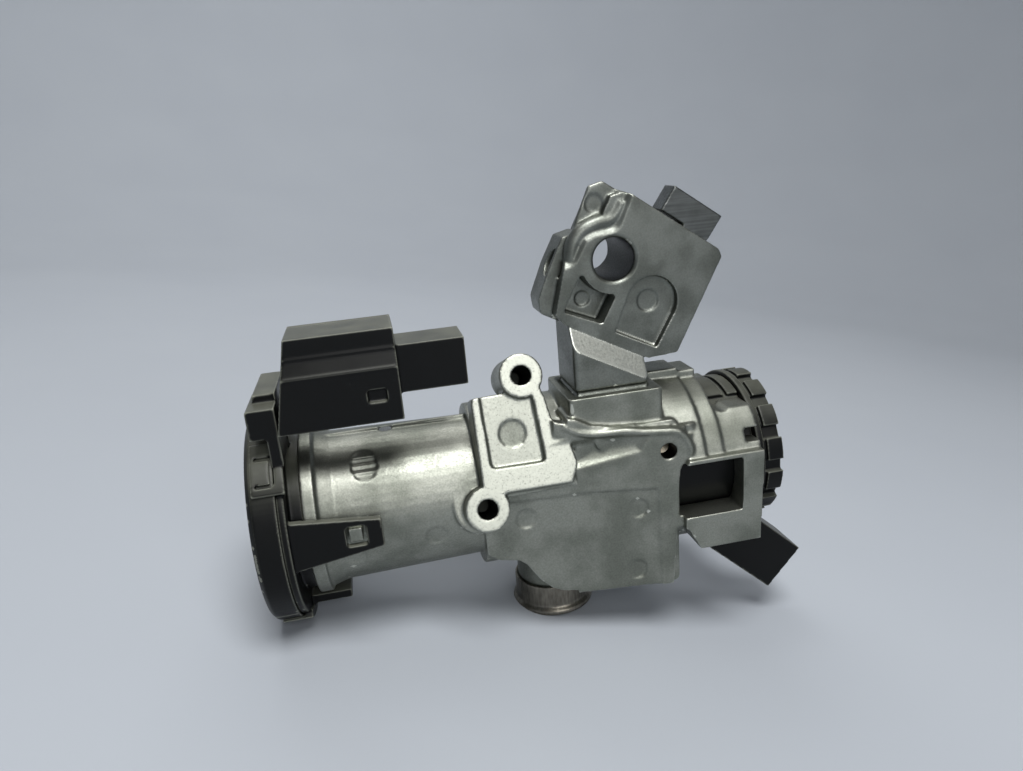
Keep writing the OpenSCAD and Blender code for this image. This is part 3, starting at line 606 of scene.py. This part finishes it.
@dataclass(frozen=True)
class Rod(Form):
    """A round form, straight or tapered."""

    start: Place
    end: Place
    radius: float
    end_radius: float
    sides: int = 64

    def pour(self, work: bmesh.types.BMesh) -> None:
        """Adds the rod to a mesh.

        Args:
            work: Mesh that takes it, in the frame's millimetres.
        """
        low, high = Vector(self.start) - BORE, Vector(self.end) - BORE
        turn = (high - low).to_track_quat("Z", "Y").to_matrix().to_4x4()
        bmesh.ops.create_cone(
            work,
            cap_ends=True,
            segments=self.sides,
            radius1=self.radius,
            radius2=self.end_radius,
            depth=(high - low).length,
            matrix=Matrix.Translation((low + high) / 2) @ turn,
        )

    def holds(self, at: Vector) -> bool:
        """Tells whether a place lies in the rod's wider cylinder.

        Args:
            at: Place in key axis millimetres.

        Returns:
            True if it does.
        """
        along = Vector(self.end) - Vector(self.start)
        from_start = at - Vector(self.start)
        share = from_start.dot(along) / along.length_squared
        aside = (from_start - along * share).length
        return 0.0 <= share <= 1.0 and aside <= max(self.radius, self.end_radius)


@dataclass(frozen=True)
class Plate(Form):
    """A plate with its outline seen from the front, whose front may follow the leaning wall."""

    outline: tuple[Span, ...]
    back: float
    front: float
    # change of the front per millimetre along the key axis, counted from a place on it
    lean: float = 0.0
    lean_from: float = 70.0

    def pour(self, work: bmesh.types.BMesh) -> None:
        """Adds the plate to a mesh.

        Args:
            work: Mesh that takes it, in the frame's millimetres.
        """
        own = bmesh.new()
        rear = [own.verts.new(Vector((x, self.back, z)) - BORE) for x, z in self.outline]
        face = [
            own.verts.new(Vector((x, self.front + self.lean * (x - self.lean_from), z)) - BORE)
            for x, z in self.outline
        ]
        own.faces.new(rear)
        own.faces.new(face)
        for k, vertex in enumerate(rear):
            after = (k + 1) % len(rear)
            own.faces.new((vertex, rear[after], face[after], face[k]))
        bmesh.ops.recalc_face_normals(own, faces=own.faces)
        mesh = to_mesh(own, "plate")
        work.from_mesh(mesh)
        bpy.data.meshes.remove(mesh)


@dataclass(frozen=True)
class Carved(Form):
    """A form with its own cuts."""

    base: Form
    cuts: tuple[Form, ...]

    def pour(self, work: bmesh.types.BMesh) -> None:
        """Adds the carved form to a mesh.

        Args:
            work: Mesh that takes it, in the frame's millimetres.
        """
        made = self.base.solid("carved")
        carve(made, self.cuts)
        work.from_mesh(made.data)
        discard(made)


@dataclass(frozen=True)
class Bead(Form):
    """A rounded ridge that a node tree sweeps along a path."""

    path: tuple[Place, ...]
    radius: float

    def tree(self) -> bpy.types.NodeTree:
        """Makes the sweeping tree.

        Returns:
            The node tree, with the radius as a named input.
        """
        tree = bpy.data.node_groups.new("swept_bead", "GeometryNodeTree")
        tree.interface.new_socket("Geometry", in_out="OUTPUT", socket_type="NodeSocketGeometry")
        tree.interface.new_socket("Path", in_out="INPUT", socket_type="NodeSocketGeometry")
        tree.interface.new_socket("Radius", in_out="INPUT", socket_type="NodeSocketFloat")
        given = add(tree, "NodeGroupInput").outputs
        line = add(tree, "GeometryNodeMeshToCurve", {"Mesh": given["Path"]})
        soft = add(tree, "GeometryNodeCurveSplineType", {"Curve": line.outputs[0]}, spline_type="CATMULL_ROM")
        ring = add(tree, "GeometryNodeCurvePrimitiveCircle", {"Resolution": 16, "Radius": given["Radius"]})
        bead = add(
            tree,
            "GeometryNodeCurveToMesh",
            {"Curve": soft.outputs[0], "Profile Curve": ring.outputs[0], "Fill Caps": True},
        )
        add(tree, "NodeGroupOutput", {0: bead.outputs[0]})
        return tree

    def pour(self, work: bmesh.types.BMesh) -> None:
        """Adds the bead to a mesh.

        Args:
            work: Mesh that takes it, in the frame's millimetres.
        """
        mesh = bpy.data.meshes.new("bead")
        points = [Vector(p) - BORE for p in self.path]
        mesh.from_pydata(points, [(k, k + 1) for k in range(len(points) - 1)], [])
        made = make_object("bead", mesh)
        swept = made.modifiers.new("sweep", "NODES")
        swept.node_group = bpy.data.node_groups.get("swept_bead") or self.tree()
        for item in swept.node_group.interface.items_tree:
            if item.name == "Radius":
                swept[item.identifier] = self.radius
        settle(made)
        work.from_mesh(made.data)
        discard(made)


@dataclass
class Softened:
    """A CAD node with the small radii, fillets and details that its mould gives it."""

    piece: str
    node: str
    body: Body
    slot: Slot
    finish: Finish
    voxel_mm: float = 0.3
    passes: int = 4
    cuts: tuple[Form, ...] = ()
    lumps: tuple[Form, ...] = ()
    # holes whose walls get painted shade
    shaded: tuple[Rod, ...] = ()
    most_triangles: int = 190000

    def build(self) -> None:
        """Makes the softened piece, which rides on its body in place of the node."""
        made = make_object(self.piece, self.merged())
        carve(made, self.cuts)
        if self.lumps:
            work = bmesh.new()
            work.from_mesh(made.data)
            for lump in self.lumps:
                lump.pour(work)
            work.to_mesh(made.data)
            work.free()
        remesh = made.modifiers.new("skin", "REMESH")
        remesh.mode = "VOXEL"
        remesh.voxel_size = self.voxel_mm * 1.0
        soften = made.modifiers.new("radii", "SMOOTH")
        soften.iterations = self.passes
        settle(made)
        self.thin(made)
        made.data.transform(Matrix.Scale(MM, 4))
        made.data.shade_smooth()
        self.mark(made.data)
        made.data.materials.clear()
        made.data.materials.append(self.finish.material())
        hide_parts(self.node)
        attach(made, self.body.value)
        LOG.info("%s: %d faces", self.piece, len(made.data.polygons))

    def merged(self) -> bpy.types.Mesh:
        """Copies the node's mesh in millimetres, with its doubled vertices merged.

        Returns:
            The copy.
        """
        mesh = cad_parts[self.node].data.copy()
        mesh.materials.clear()
        mesh.transform(Matrix.Scale(1 / MM, 4))
        work = bmesh.new()
        work.from_mesh(mesh)
        bmesh.ops.remove_doubles(work, verts=work.verts, dist=MERGE_MM)
        work.to_mesh(mesh)
        work.free()
        return mesh

    def thin(self, made: bpy.types.Object) -> None:
        """Keeps the piece under its triangle limit.

        Args:
            made: Object of the piece.
        """
        triangles = sum(len(p.vertices) - 2 for p in made.data.polygons)
        if triangles > self.most_triangles:
            spare = made.modifiers.new("thin", "DECIMATE")
            spare.ratio = self.most_triangles / triangles
            even = made.modifiers.new("even", "SMOOTH")
            even.iterations = 1
            settle(made)

    def mark(self, mesh: bpy.types.Mesh) -> None:
        """Marks the walls of the holes that get painted shade.

        Args:
            mesh: Finished mesh of the piece, in metres.
        """
        if self.shaded:
            shade = mesh.attributes.new("shaded", "FLOAT", "POINT")
            for vertex, cell in zip(mesh.vertices, shade.data):
                at = vertex.co / MM + BORE
                cell.value = float(any(hole.holds(at) for hole in self.shaded))


@dataclass
class MachinedCasting(Softened):
    """A casting with a milled plane that has its own bright finish."""

    plane_normal: Place = (0.0, -0.9397, 0.342)
    plane_off: float = 20.5
    # where the plane lies along the key axis
    span: Span = (42.0, 73.0)
    near_mm: float = 0.25
    # depth of the cast pocket in the plane, which is nearly as bright
    pocket_mm: float = 1.4
    pocket_near_mm: float = 0.5
    pocket_share: float = 0.7
    # how square to the plane a face is where the finish starts, and over how much it grows
    square_from: float = 0.9
    square_over: float = 0.08

    def mark(self, mesh: bpy.types.Mesh) -> None:
        """Writes how far each vertex belongs to the milled plane.

        Args:
            mesh: Finished mesh of the piece, in metres.
        """
        super().mark(mesh)
        normal = Vector(self.plane_normal).normalized()
        milled_and_highlit = mesh.attributes.new("milled_and_highlit", "FLOAT", "POINT")
        for vertex, cell in zip(mesh.vertices, milled_and_highlit.data):
            at = vertex.co / MM + BORE
            if self.span[0] < at.x < self.span[1]:
                below = self.plane_off - at.dot(normal)
                on_plane = 1.0 - abs(below) / self.near_mm
                in_pocket = self.pocket_share - abs(below - self.pocket_mm) / self.pocket_near_mm
                square = (vertex.normal.dot(normal) - self.square_from) / self.square_over
                cell.value = max(0.0, min(1.0, max(on_plane, in_pocket), square))


@dataclass
class FacetedCasting(Softened):
    """A casting whose neck facet under the block gets the bright milled colour as a painted highlight where it
    faces up and to the front.
    """

    # heights of the facet, how far it looks up and how far it looks to the front
    span: Span = (24.0, 38.0)
    tilt: Span = (0.25, 0.75)
    facing: float = -0.6

    def mark(self, mesh: bpy.types.Mesh) -> None:
        """Writes which neck vertices face up and to the front and get the painted highlight.

        Args:
            mesh: Finished mesh of the piece, in metres.
        """
        super().mark(mesh)
        # painted highlight on faces that look up and to the front
        facet_highlight = mesh.attributes.new("milled_and_highlit", "FLOAT", "POINT")
        for vertex, cell in zip(mesh.vertices, facet_highlight.data):
            height = vertex.co.z / MM + BORE.z
            leans = self.tilt[0] < vertex.normal.z < self.tilt[1] and vertex.normal.y < self.facing
            cell.value = float(leans and self.span[0] < height < self.span[1])


@dataclass
class Coil:
    """A wire spring wound by a node tree."""

    piece: str
    node: str
    body: Body
    finish: Finish
    radius: float
    wire: float
    height: float
    turns: float
    at: Place
    turn: Place = (0.0, 0.0, 0.0)
    count: int = 1

    def tree(self) -> bpy.types.NodeTree:
        """Makes the winding tree: a helix swept with round wire, copied round the key axis.

        Returns:
            The node tree, with its sizes as named inputs.
        """
        tree = bpy.data.node_groups.new("wound_wire", "GeometryNodeTree")
        face = tree.interface
        face.new_socket("Geometry", in_out="OUTPUT", socket_type="NodeSocketGeometry")
        for label, kind in (
            ("Radius", "Float"),
            ("Wire", "Float"),
            ("Height", "Float"),
            ("Turns", "Float"),
            ("Place", "Vector"),
            ("Turn", "Vector"),
            ("Copies", "Int"),
            ("Axis", "Vector"),
            ("Material", "Material"),
        ):
            face.new_socket(label, in_out="INPUT", socket_type=f"NodeSocket{kind}")
        given = add(tree, "NodeGroupInput").outputs
        helix = add(
            tree,
            "GeometryNodeCurveSpiral",
            {
                "Resolution": 32,
                "Rotations": given["Turns"],
                "Start Radius": given["Radius"],
                "End Radius": given["Radius"],
                "Height": given["Height"],
            },
        )
        ring = add(tree, "GeometryNodeCurvePrimitiveCircle", {"Resolution": 10, "Radius": given["Wire"]})
        wire = add(
            tree,
            "GeometryNodeCurveToMesh",
            {"Curve": helix.outputs[0], "Profile Curve": ring.outputs[0], "Fill Caps": True},
        )
        placed = add(
            tree,
            "GeometryNodeTransform",
            {"Geometry": wire.outputs[0], "Translation": given["Place"], "Rotation": given["Turn"]},
        )
        points = add(tree, "GeometryNodePoints", {"Count": given["Copies"], "Position": given["Axis"]})
        index = add(tree, "GeometryNodeInputIndex")
        share = add(tree, "ShaderNodeMath", {0: math.tau, 1: given["Copies"]}, operation="DIVIDE")
        angle = add(tree, "ShaderNodeMath", {0: index.outputs[0], 1: share.outputs[0]}, operation="MULTIPLY")
        spin = add(tree, "ShaderNodeCombineXYZ", {"X": angle.outputs[0]})
        copies = add(
            tree,
            "GeometryNodeInstanceOnPoints",
            {"Points": points.outputs[0], "Instance": placed.outputs[0], "Rotation": spin.outputs[0]},
        )
        real = add(tree, "GeometryNodeRealizeInstances", {"Geometry": copies.outputs[0]})
        smooth = add(tree, "GeometryNodeSetShadeSmooth", {"Geometry": real.outputs[0]})
        dressed = add(
            tree,
            "GeometryNodeSetMaterial",
            {"Geometry": smooth.outputs[0], "Material": given["Material"]},
        )
        add(tree, "NodeGroupOutput", {0: dressed.outputs[0]})
        return tree

    def build(self) -> bpy.types.Object:
        """Winds the spring.

        Returns:
            The piece, riding on its body in place of the node.
        """
        made = make_object(self.piece, bpy.data.meshes.new(self.piece))
        wound = made.modifiers.new("winding", "NODES")
        wound.node_group = bpy.data.node_groups.get("wound_wire") or self.tree()
        values = {
            "Radius": self.radius * MM,
            "Wire": self.wire * MM,
            "Height": self.height * MM,
            "Turns": self.turns,
            "Place": [v * MM for v in self.at],
            "Turn": [math.radians(v) for v in self.turn],
            "Copies": self.count,
            "Axis": [-v * MM for v in BORE],
            "Material": self.finish.material(),
        }
        for item in wound.node_group.interface.items_tree:
            if item.in_out == "INPUT":
                wound[item.identifier] = values[item.name]
        settle(made)
        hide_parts(self.node)
        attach(made, self.body.value)
        LOG.info("%s: %d faces", self.piece, len(made.data.polygons))
        return made


# front wall of the housing, which leans forward from the machined face to the screw boss
WALL_FRONT, WALL_LEAN = -17.02, -0.107
WALL_TOP = ((66.5, 18.6), (68.5, 18.0), (72.1, 16.0), (76.3, 15.2), (82.8, 15.1), (87.1, 14.4), (93.7, 13.8))
WALL_END = ((95.3, 13.0), (96.5, 11.6), (97.4, 9.4), (97.3, 7.8), (96.6, 6.5), (95.4, 4.2), (95.0, 3.1))
WALL_LOW = ((94.4, -3.8), (94.0, -9.2), (93.0, -26.0), (70.0, -25.6), (70.0, 4.0), (66.5, 8.0))
# round prints in the wall: their radius, how far they go in, and a distance well in front of it
PRINT_RADIUS, PRINT_DEEP, PRINT_CLEAR = 2.5, 0.8, 6.0


def on_wall(x: float, z: float, proud: float = 0.0) -> Place:
    """Finds a place on the front wall.

    Args:
        x: Place along the key axis.
        z: Height.
        proud: How far it stands out of the wall.

    Returns:
        The place, in key axis millimetres.
    """
    return x, WALL_FRONT + WALL_LEAN * (x - Plate.lean_from) - proud, z


def pin_mark(x: float, z: float) -> Rod:
    """Makes the round print that an ejector pin leaves in the wall.

    Args:
        x: Place along the key axis.
        z: Height.

    Returns:
        The form that is cut from the wall.
    """
    return Rod(on_wall(x, z, -PRINT_DEEP), on_wall(x, z, PRINT_CLEAR), PRINT_RADIUS, PRINT_RADIUS)


def box_outline(low: Span, high: Span) -> tuple[Span, ...]:
    """Makes the outline of an upright rectangle.

    Args:
        low: One corner, along the key axis and in height.
        high: The opposite corner.

    Returns:
        Its four corners.
    """
    return low, (high[0], low[1]), high, (low[0], high[1])


SCREW_HOLE = Rod((92.4, -12.4, 8.4), (92.4, -27.0, 8.4), 1.9, 1.9)
PANEL = Plate(
    ((68.0, 1.0), (89.7, -0.5), (90.2, -33.0), (68.0, -33.0)), -30.0, WALL_FRONT + 0.45, WALL_LEAN
)
TROUGH = Rod(on_wall(64.0, 10.4, 2.3), on_wall(92.0, 11.4, 2.3), 5.2, 2.4)
WALL = Carved(
    Plate(WALL_TOP + WALL_END + WALL_LOW, -14.0, WALL_FRONT, WALL_LEAN),
    (PANEL, TROUGH, SCREW_HOLE, pin_mark(85.0, -5.1), pin_mark(84.2, -21.2)),
)
TROUGH_DISC = Rod(on_wall(78.3, 12.2, -3.6), on_wall(78.3, 12.2, -1.3), 2.5, 2.4)
# what stands in front of the wall beside the window goes
WALL_CUT = Plate(
    ((82.0, 13.0), (95.3, 13.0), (96.5, 11.6), (97.4, 9.4))
    + ((96.6, 6.5), (95.4, 4.2), (95.2, -28.0), (82.0, -28.0)),
    -27.0,
    WALL_FRONT,
    WALL_LEAN,
)
RIDGE_CUT = Plate(box_outline((82.0, 13.6), (102.0, 19.0)), -27.0, -16.9)
BELL_CUT = Plate(box_outline((96.9, 11.4), (102.0, 19.0)), -27.0, -17.7)
WALL_RIDGE = Bead(tuple(on_wall(x, z - 0.7, -0.35) for x, z in WALL_TOP[1:] + WALL_END[:4]), 0.85)
# tapped holes of the machined face, the lower one first
BOSS_HOLES = (
    Rod((49.6, -8.7, -2.0), (49.6, -21.5, 2.5), 2.25, 2.25),
    Rod((61.2, 0.9, 24.3), (61.2, -12.0, 29.0), 2.25, 2.25),
)
# the lower boss stands on a broader one
BOSS_BACK = Carved(Rod((48.6, -12.0, -0.2), (48.6, -17.4, 1.8), 6.6, 6.2), BOSS_HOLES[:1])
BORE_CHAMFER = Rod((84.4, -10.9, 51.8), (84.4, -9.6, 51.8), 5.75, 4.45)
BORE_WALL = Rod((84.4, -9.8, 51.8), (84.4, 12.0, 51.8), 5.0, 5.0)
# front wall of the hole in the block's cheek
CHEEK_WALL = Plate(((72.7, 55.6), (75.5, 54.2), (71.8, 47.2), (69.3, 48.5), (70.7, 51.6)), -5.9, -7.0)
# rounded slope from the lower corner of the block up to its front
SLOPE_LOW = ((75.0, 52.4), (75.2, 54.2), (75.9, 56.2), (77.8, 58.4))
SLOPE_HIGH = ((80.9, 59.7), (84.2, 60.3), (86.0, 61.8), (87.2, 63.8))
CORNER_SLOPE = Bead(tuple((x, -8.3, z) for x, z in SLOPE_LOW + SLOPE_HIGH), 1.75)
# narrow step where the neck enters its socket, along its front and its left side
NECK_GROOVE = (
    Plate(box_outline((72.0, 22.5), (91.5, 23.6)), -12.8, -15.0),
    Plate(box_outline((72.0, 22.5), (73.6, 23.6)), 12.0, -15.0),
)
# the carrier's foot is a low stepped block beside the box
FOOT_CUT = Plate(box_outline((0.0, 30.7), (8.55, 46.0)), 12.0, -24.0)
FOOT_STEP = Plate(box_outline((2.8, 25.0), (8.5, 30.7)), -2.6, -16.8)
FOOT_BLOCK = Plate(box_outline((3.8, 25.0), (8.5, 32.5)), 6.5, -11.6)
# raised edges of the slope across the front of the box
BOX_EDGES = (
    Bead(((11.8, -16.75, 40.2), (23.0, -16.75, 40.2), (34.3, -16.75, 40.2)), 0.35),
    Bead(((11.1, -18.4, 36.4), (23.0, -18.4, 36.4), (34.3, -18.4, 36.4)), 0.35),
)


@dataclass
class Assembly:
    """Pieces of the object that belong together."""

    def build(self) -> None:
        """Builds the pieces that take the place of CAD nodes."""
        raise NotImplementedError

    def carried(self) -> dict[str, Finish]:
        """Lists the CAD nodes that are carried over.

        Returns:
            Node name to its finish.
        """
        return {}

    def dress(self) -> None:
        """Gives the carried-over nodes their finishes."""
        for node, finish in self.carried().items():
            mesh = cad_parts[node].data
            mesh.materials.clear()
            mesh.materials.append(finish.material())
            LOG.info("%s: carried over", node)


@dataclass
class Casting(Assembly):
    """The die-cast housing, the column block and the pressed cap."""

    def build(self) -> None:
        """Builds the housing's pieces."""
        MachinedCasting(
            "housing_casting",
            "lock_housing",
            Body.LOCK,
            Slot.DIE_CAST,
            CAST_ZINC,
            passes=6,
            cuts=(WALL_CUT, RIDGE_CUT, BELL_CUT, SCREW_HOLE),
            lumps=(WALL, WALL_RIDGE, TROUGH_DISC, BOSS_BACK),
            # painted shade in the screw and boss holes
            shaded=(SCREW_HOLE, *BOSS_HOLES),
        ).build()
        FacetedCasting(
            "block_casting",
            "column_block",
            Body.LOCK,
            Slot.DIE_CAST,
            CAST_BLOCK,
            voxel_mm=0.25,
            passes=7,
            cuts=(BORE_CHAMFER, *NECK_GROOVE),
            lumps=(CORNER_SLOPE, CHEEK_WALL),
            # painted shade in the bore
            shaded=(BORE_WALL,),
        ).build()
        Softened(
            "spring_cap", "bottom_cap", Body.LOCK, Slot.CAP_STEEL, PRESSED_STEEL, voxel_mm=0.25, passes=3
        ).build()


@dataclass
class LockDrive(Assembly):
    """The bolt, its slider, the shaft and the spring."""

    spring_low: float = -34.6
    spring_high: float = -8.3
    spring_x: float = 67.0
    spring_r: float = 5.2
    # radius of its wire
    wire: float = 0.9
    slider_travel: float = 5.0

    def build(self) -> None:
        """Builds the bolt and its spring."""
        Softened(
            "bolt_bar", "lock_bolt", Body.BOLT, Slot.BOLT_STEEL, MILLED_STEEL, voxel_mm=0.2, passes=2
        ).build()
        height = self.spring_high - self.spring_low
        spring = Coil(
            "slider_spring",
            "bolt_spring",
            Body.LOCK,
            SPRING_WIRE,
            self.spring_r,
            self.wire,
            height - 2 * self.wire,
            turns=6.0,
            at=(self.spring_x, 0.0, self.spring_low + self.wire),
        ).build()
        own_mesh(spring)

    def carried(self) -> dict[str, Finish]:
        """Lists the CAD nodes that are carried over.

        Returns:
            Node name to its finish.
        """
        return {
            "bolt_pin": TURNED_STEEL,
            "bolt_slider": TURNED_STEEL,
            "drive_shaft": TURNED_STEEL,
            "shaft_plate": TURNED_ZINC,
        }


@dataclass
class KeyCylinder(Assembly):
    """The key barrel in its sleeve, behind the face bezel."""

    def build(self) -> None:
        """Builds the parts that show at the key end."""
        for piece, node, body, slot, finish in (
            ("key_plug", "key_barrel", Body.KEY, Slot.CYLINDER_ZINC, TURNED_ZINC),
            ("bezel_ring", "face_bezel", Body.LOCK, Slot.BLACK_PLASTIC, BLACK_PBT),
        ):
            Softened(piece, node, body, slot, finish, voxel_mm=0.2, passes=2).build()

    def carried(self) -> dict[str, Finish]:
        """Lists the CAD nodes that are carried over.

        Returns:
            Node name to its finish.
        """
        return {"cylinder_sleeve": TURNED_ZINC, "wafers": STAMPED_BRASS, "sleeve_pin": TURNED_STEEL}


@dataclass
class AerialUnit(Assembly):
    """The black aerial ring, its carrier and the box with the plug."""

    def build(self) -> None:
        """Builds the plastic mouldings."""
        for piece, node, cuts, lumps in (
            ("ring_moulding", "aerial_ring", (), ()),
            ("carrier_moulding", "aerial_carrier", (FOOT_CUT,), (FOOT_STEP, FOOT_BLOCK)),
            ("box_moulding", "aerial_box", (), BOX_EDGES),
            ("lid_moulding", "box_lid", (), ()),
        ):
            Softened(
                piece,
                node,
                Body.LOCK,
                Slot.BLACK_PLASTIC,
                BLACK_NYLON,
                voxel_mm=0.25,
                passes=5,
                cuts=cuts,
                lumps=lumps,
            ).build()

    def carried(self) -> dict[str, Finish]:
        """Lists the CAD nodes that are carried over.

        Returns:
            Node name to its finish.
        """
        return {"aerial_coil": WOUND_COPPER, "circuit_board": GREEN_BOARD, "plug_pins": CONTACT_BRASS}


@dataclass
class RotarySwitch(Assembly):
    """The contact switch in the bell."""

    rotor_end: float = 105.5
    # how far before the rotor's end the contact springs start, and how far they are from the key axis
    spring_start: float = 4.65
    spring_off: float = 8.4

    def build(self) -> None:
        """Builds the mouldings and the contact springs."""
        for piece, node in (("drum_moulding", "switch_drum"), ("case_moulding", "switch_case")):
            Softened(piece, node, Body.LOCK, Slot.BLACK_PLASTIC, BLACK_PBT, voxel_mm=0.25, passes=2).build()
        Coil(
            "contact_coils",
            "contact_springs",
            Body.KEY,
            SPRING_WIRE,
            radius=1.5,
            wire=0.35,
            height=3.7,
            turns=4.0,
            at=(self.rotor_end - self.spring_start, 0.0, self.spring_off),
            turn=(0.0, 90.0, 0.0),
            count=3,
        ).build()

    def carried(self) -> dict[str, Finish]:
        """Lists the CAD nodes that are carried over.

        Returns:
            Node name to its finish.
        """
        return {
            "switch_rotor": CREAM_ACETAL,
            "contact_bridges": CONTACT_BRASS,
            "contact_plate": BROWN_BOARD,
            "switch_terminals": CONTACT_BRASS,
        }


@dataclass(frozen=True)
class Lamp:
    """A soft disc lamp."""

    name: str
    # direction from its target to the lamp
    way: Place
    reach_m: float
    width_m: float
    watts: float
    # from the middle of the object to the target, in metres
    aside: Place = (0.0, 0.0, 0.0)

    def build(self) -> None:
        """Hangs the lamp so that it looks at its target."""
        data = bpy.data.lights.new(self.name, "AREA")
        data.shape = "DISK"
        data.size = self.width_m
        data.energy = self.watts
        lamp = bpy.data.objects.new(self.name, data)
        bpy.context.scene.collection.objects.link(lamp)
        target = (CAD_BOX[0] + CAD_BOX[1]) / 2 + Vector(self.aside)
        lamp.location = target + Vector(self.way).normalized() * self.reach_m
        lamp.rotation_euler = (target - lamp.location).to_track_quat("-Z", "Y").to_euler()


LAMPS = (
    Lamp("key_lamp", (0.08, -0.4, 0.91), 0.75, 0.42, 6.0),
    Lamp("top_lamp", (0.0, 0.42, 0.91), 0.8, 0.7, 1.4),
    Lamp("front_lamp", (0.17, -0.9, 0.42), 0.9, 0.6, 2.8),
    Lamp("wall_lamp", (0.0, -0.6, 0.8), 0.8, 0.6, 2.6, aside=(0.0, 1.0, 0.05)),
)


@dataclass
class Studio:
    """Pale floor, soft lamps and the camera at the photograph's angle."""

    # floor contacts under the ring and under the cap, key axis millimetres
    ring_foot: Place = (0.0, 0.0, -24.2)
    cap_foot: Place = (67.0, 0.0, -35.9)
    # the floor is flat, then sweeps up round an arc to a rim, in metres and radians
    floor_centre: float = 0.25
    floor_flat: float = 0.6
    sweep: float = 0.5
    sweep_angles: tuple[float, ...] = (0.2, 0.5, 0.8, 1.1, 1.35, 1.5)
    rim: float = 0.95
    floor_sides: int = 96
    sky: str = "#DDE0E2"
    sky_strength: float = 0.14
    # the photograph's camera, in the frame's millimetres
    eye: Place = (-53.69, -170.23, 25.56)
    right: Place = (0.97619, -0.19993, -0.08414)
    up: Place = (0.13894, 0.27838, 0.95037)
    forward: Place = (0.16658, 0.93944, -0.29953)
    focal_px: float = 760.0
    image_px: float = 1023.0
    sensor_mm: float = 36.0
    clip_m: float = 0.005

    def build(self) -> None:
        """Sets up the stage."""
        self.floor()
        for lamp in LAMPS:
            lamp.build()
        self.world()
        self.camera()

    def floor(self) -> None:
        """Makes the floor, which sweeps up all round."""
        profile = [(self.floor_centre, 0.0), (self.floor_flat, 0.0)]
        profile += [
            (self.floor_flat + self.sweep * math.sin(a), self.sweep - self.sweep * math.cos(a))
            for a in self.sweep_angles
        ]
        profile.append((self.floor_flat + self.sweep, self.rim))
        sides = self.floor_sides
        turn = [math.tau * k / sides for k in range(sides)]
        work = bmesh.new()
        loops = [
            [work.verts.new((radius * math.cos(t), radius * math.sin(t), height)) for t in turn]
            for radius, height in profile
        ]
        work.faces.new(loops[0])
        for inner, outer in zip(loops, loops[1:]):
            for k in range(sides):
                after = (k + 1) % sides
                work.faces.new((inner[k], outer[k], outer[after], inner[after]))
        mesh = to_mesh(work, "floor")
        along = Vector(self.cap_foot) - Vector(self.ring_foot)
        lean = Matrix.Rotation(math.atan2(-along.z, along.x), 4, "Y")
        place = Matrix.Translation((Vector(self.cap_foot) - BORE) * MM)
        mesh.transform(place @ lean)
        mesh.shade_smooth()
        mesh.materials.append(PALE_PAPER.material())
        make_object("floor", mesh)

    def world(self) -> None:
        """Lights the stage with an even pale sky."""
        sky = bpy.data.worlds.new("studio")
        sky.use_nodes = True
        sky.node_tree.nodes.clear()
        given = {"Color": linear(self.sky), "Strength": self.sky_strength}
        light = add(sky.node_tree, "ShaderNodeBackground", given)
        add(sky.node_tree, "ShaderNodeOutputWorld", {"Surface": light.outputs[0]})
        bpy.context.scene.world = sky

    def camera(self) -> None:
        """Puts the camera where the photograph was taken."""
        data = bpy.data.cameras.new("photo_view")
        data.sensor_fit = "HORIZONTAL"
        data.sensor_width = self.sensor_mm
        data.lens = self.focal_px / self.image_px * self.sensor_mm
        data.clip_start = self.clip_m
        camera = bpy.data.objects.new("photo_view", data)
        bpy.context.scene.collection.objects.link(camera)
        turn = Matrix((self.right, self.up, [-v for v in self.forward])).transposed().to_4x4()
        camera.matrix_world = Matrix.Translation(Vector(self.eye) * MM) @ turn
        bpy.context.scene.camera = camera


def main() -> None:
    """Builds the stage and every sub-assembly."""
    logging.basicConfig(level=logging.INFO, format="%(name)s %(message)s")
    bpy.context.scene.view_settings.view_transform = "Standard"
    Studio().build()
    for part in (Casting(), LockDrive(), KeyCylinder(), AerialUnit(), RotarySwitch()):
        part.build()
        part.dress()


if __name__ == "__main__":
    main()
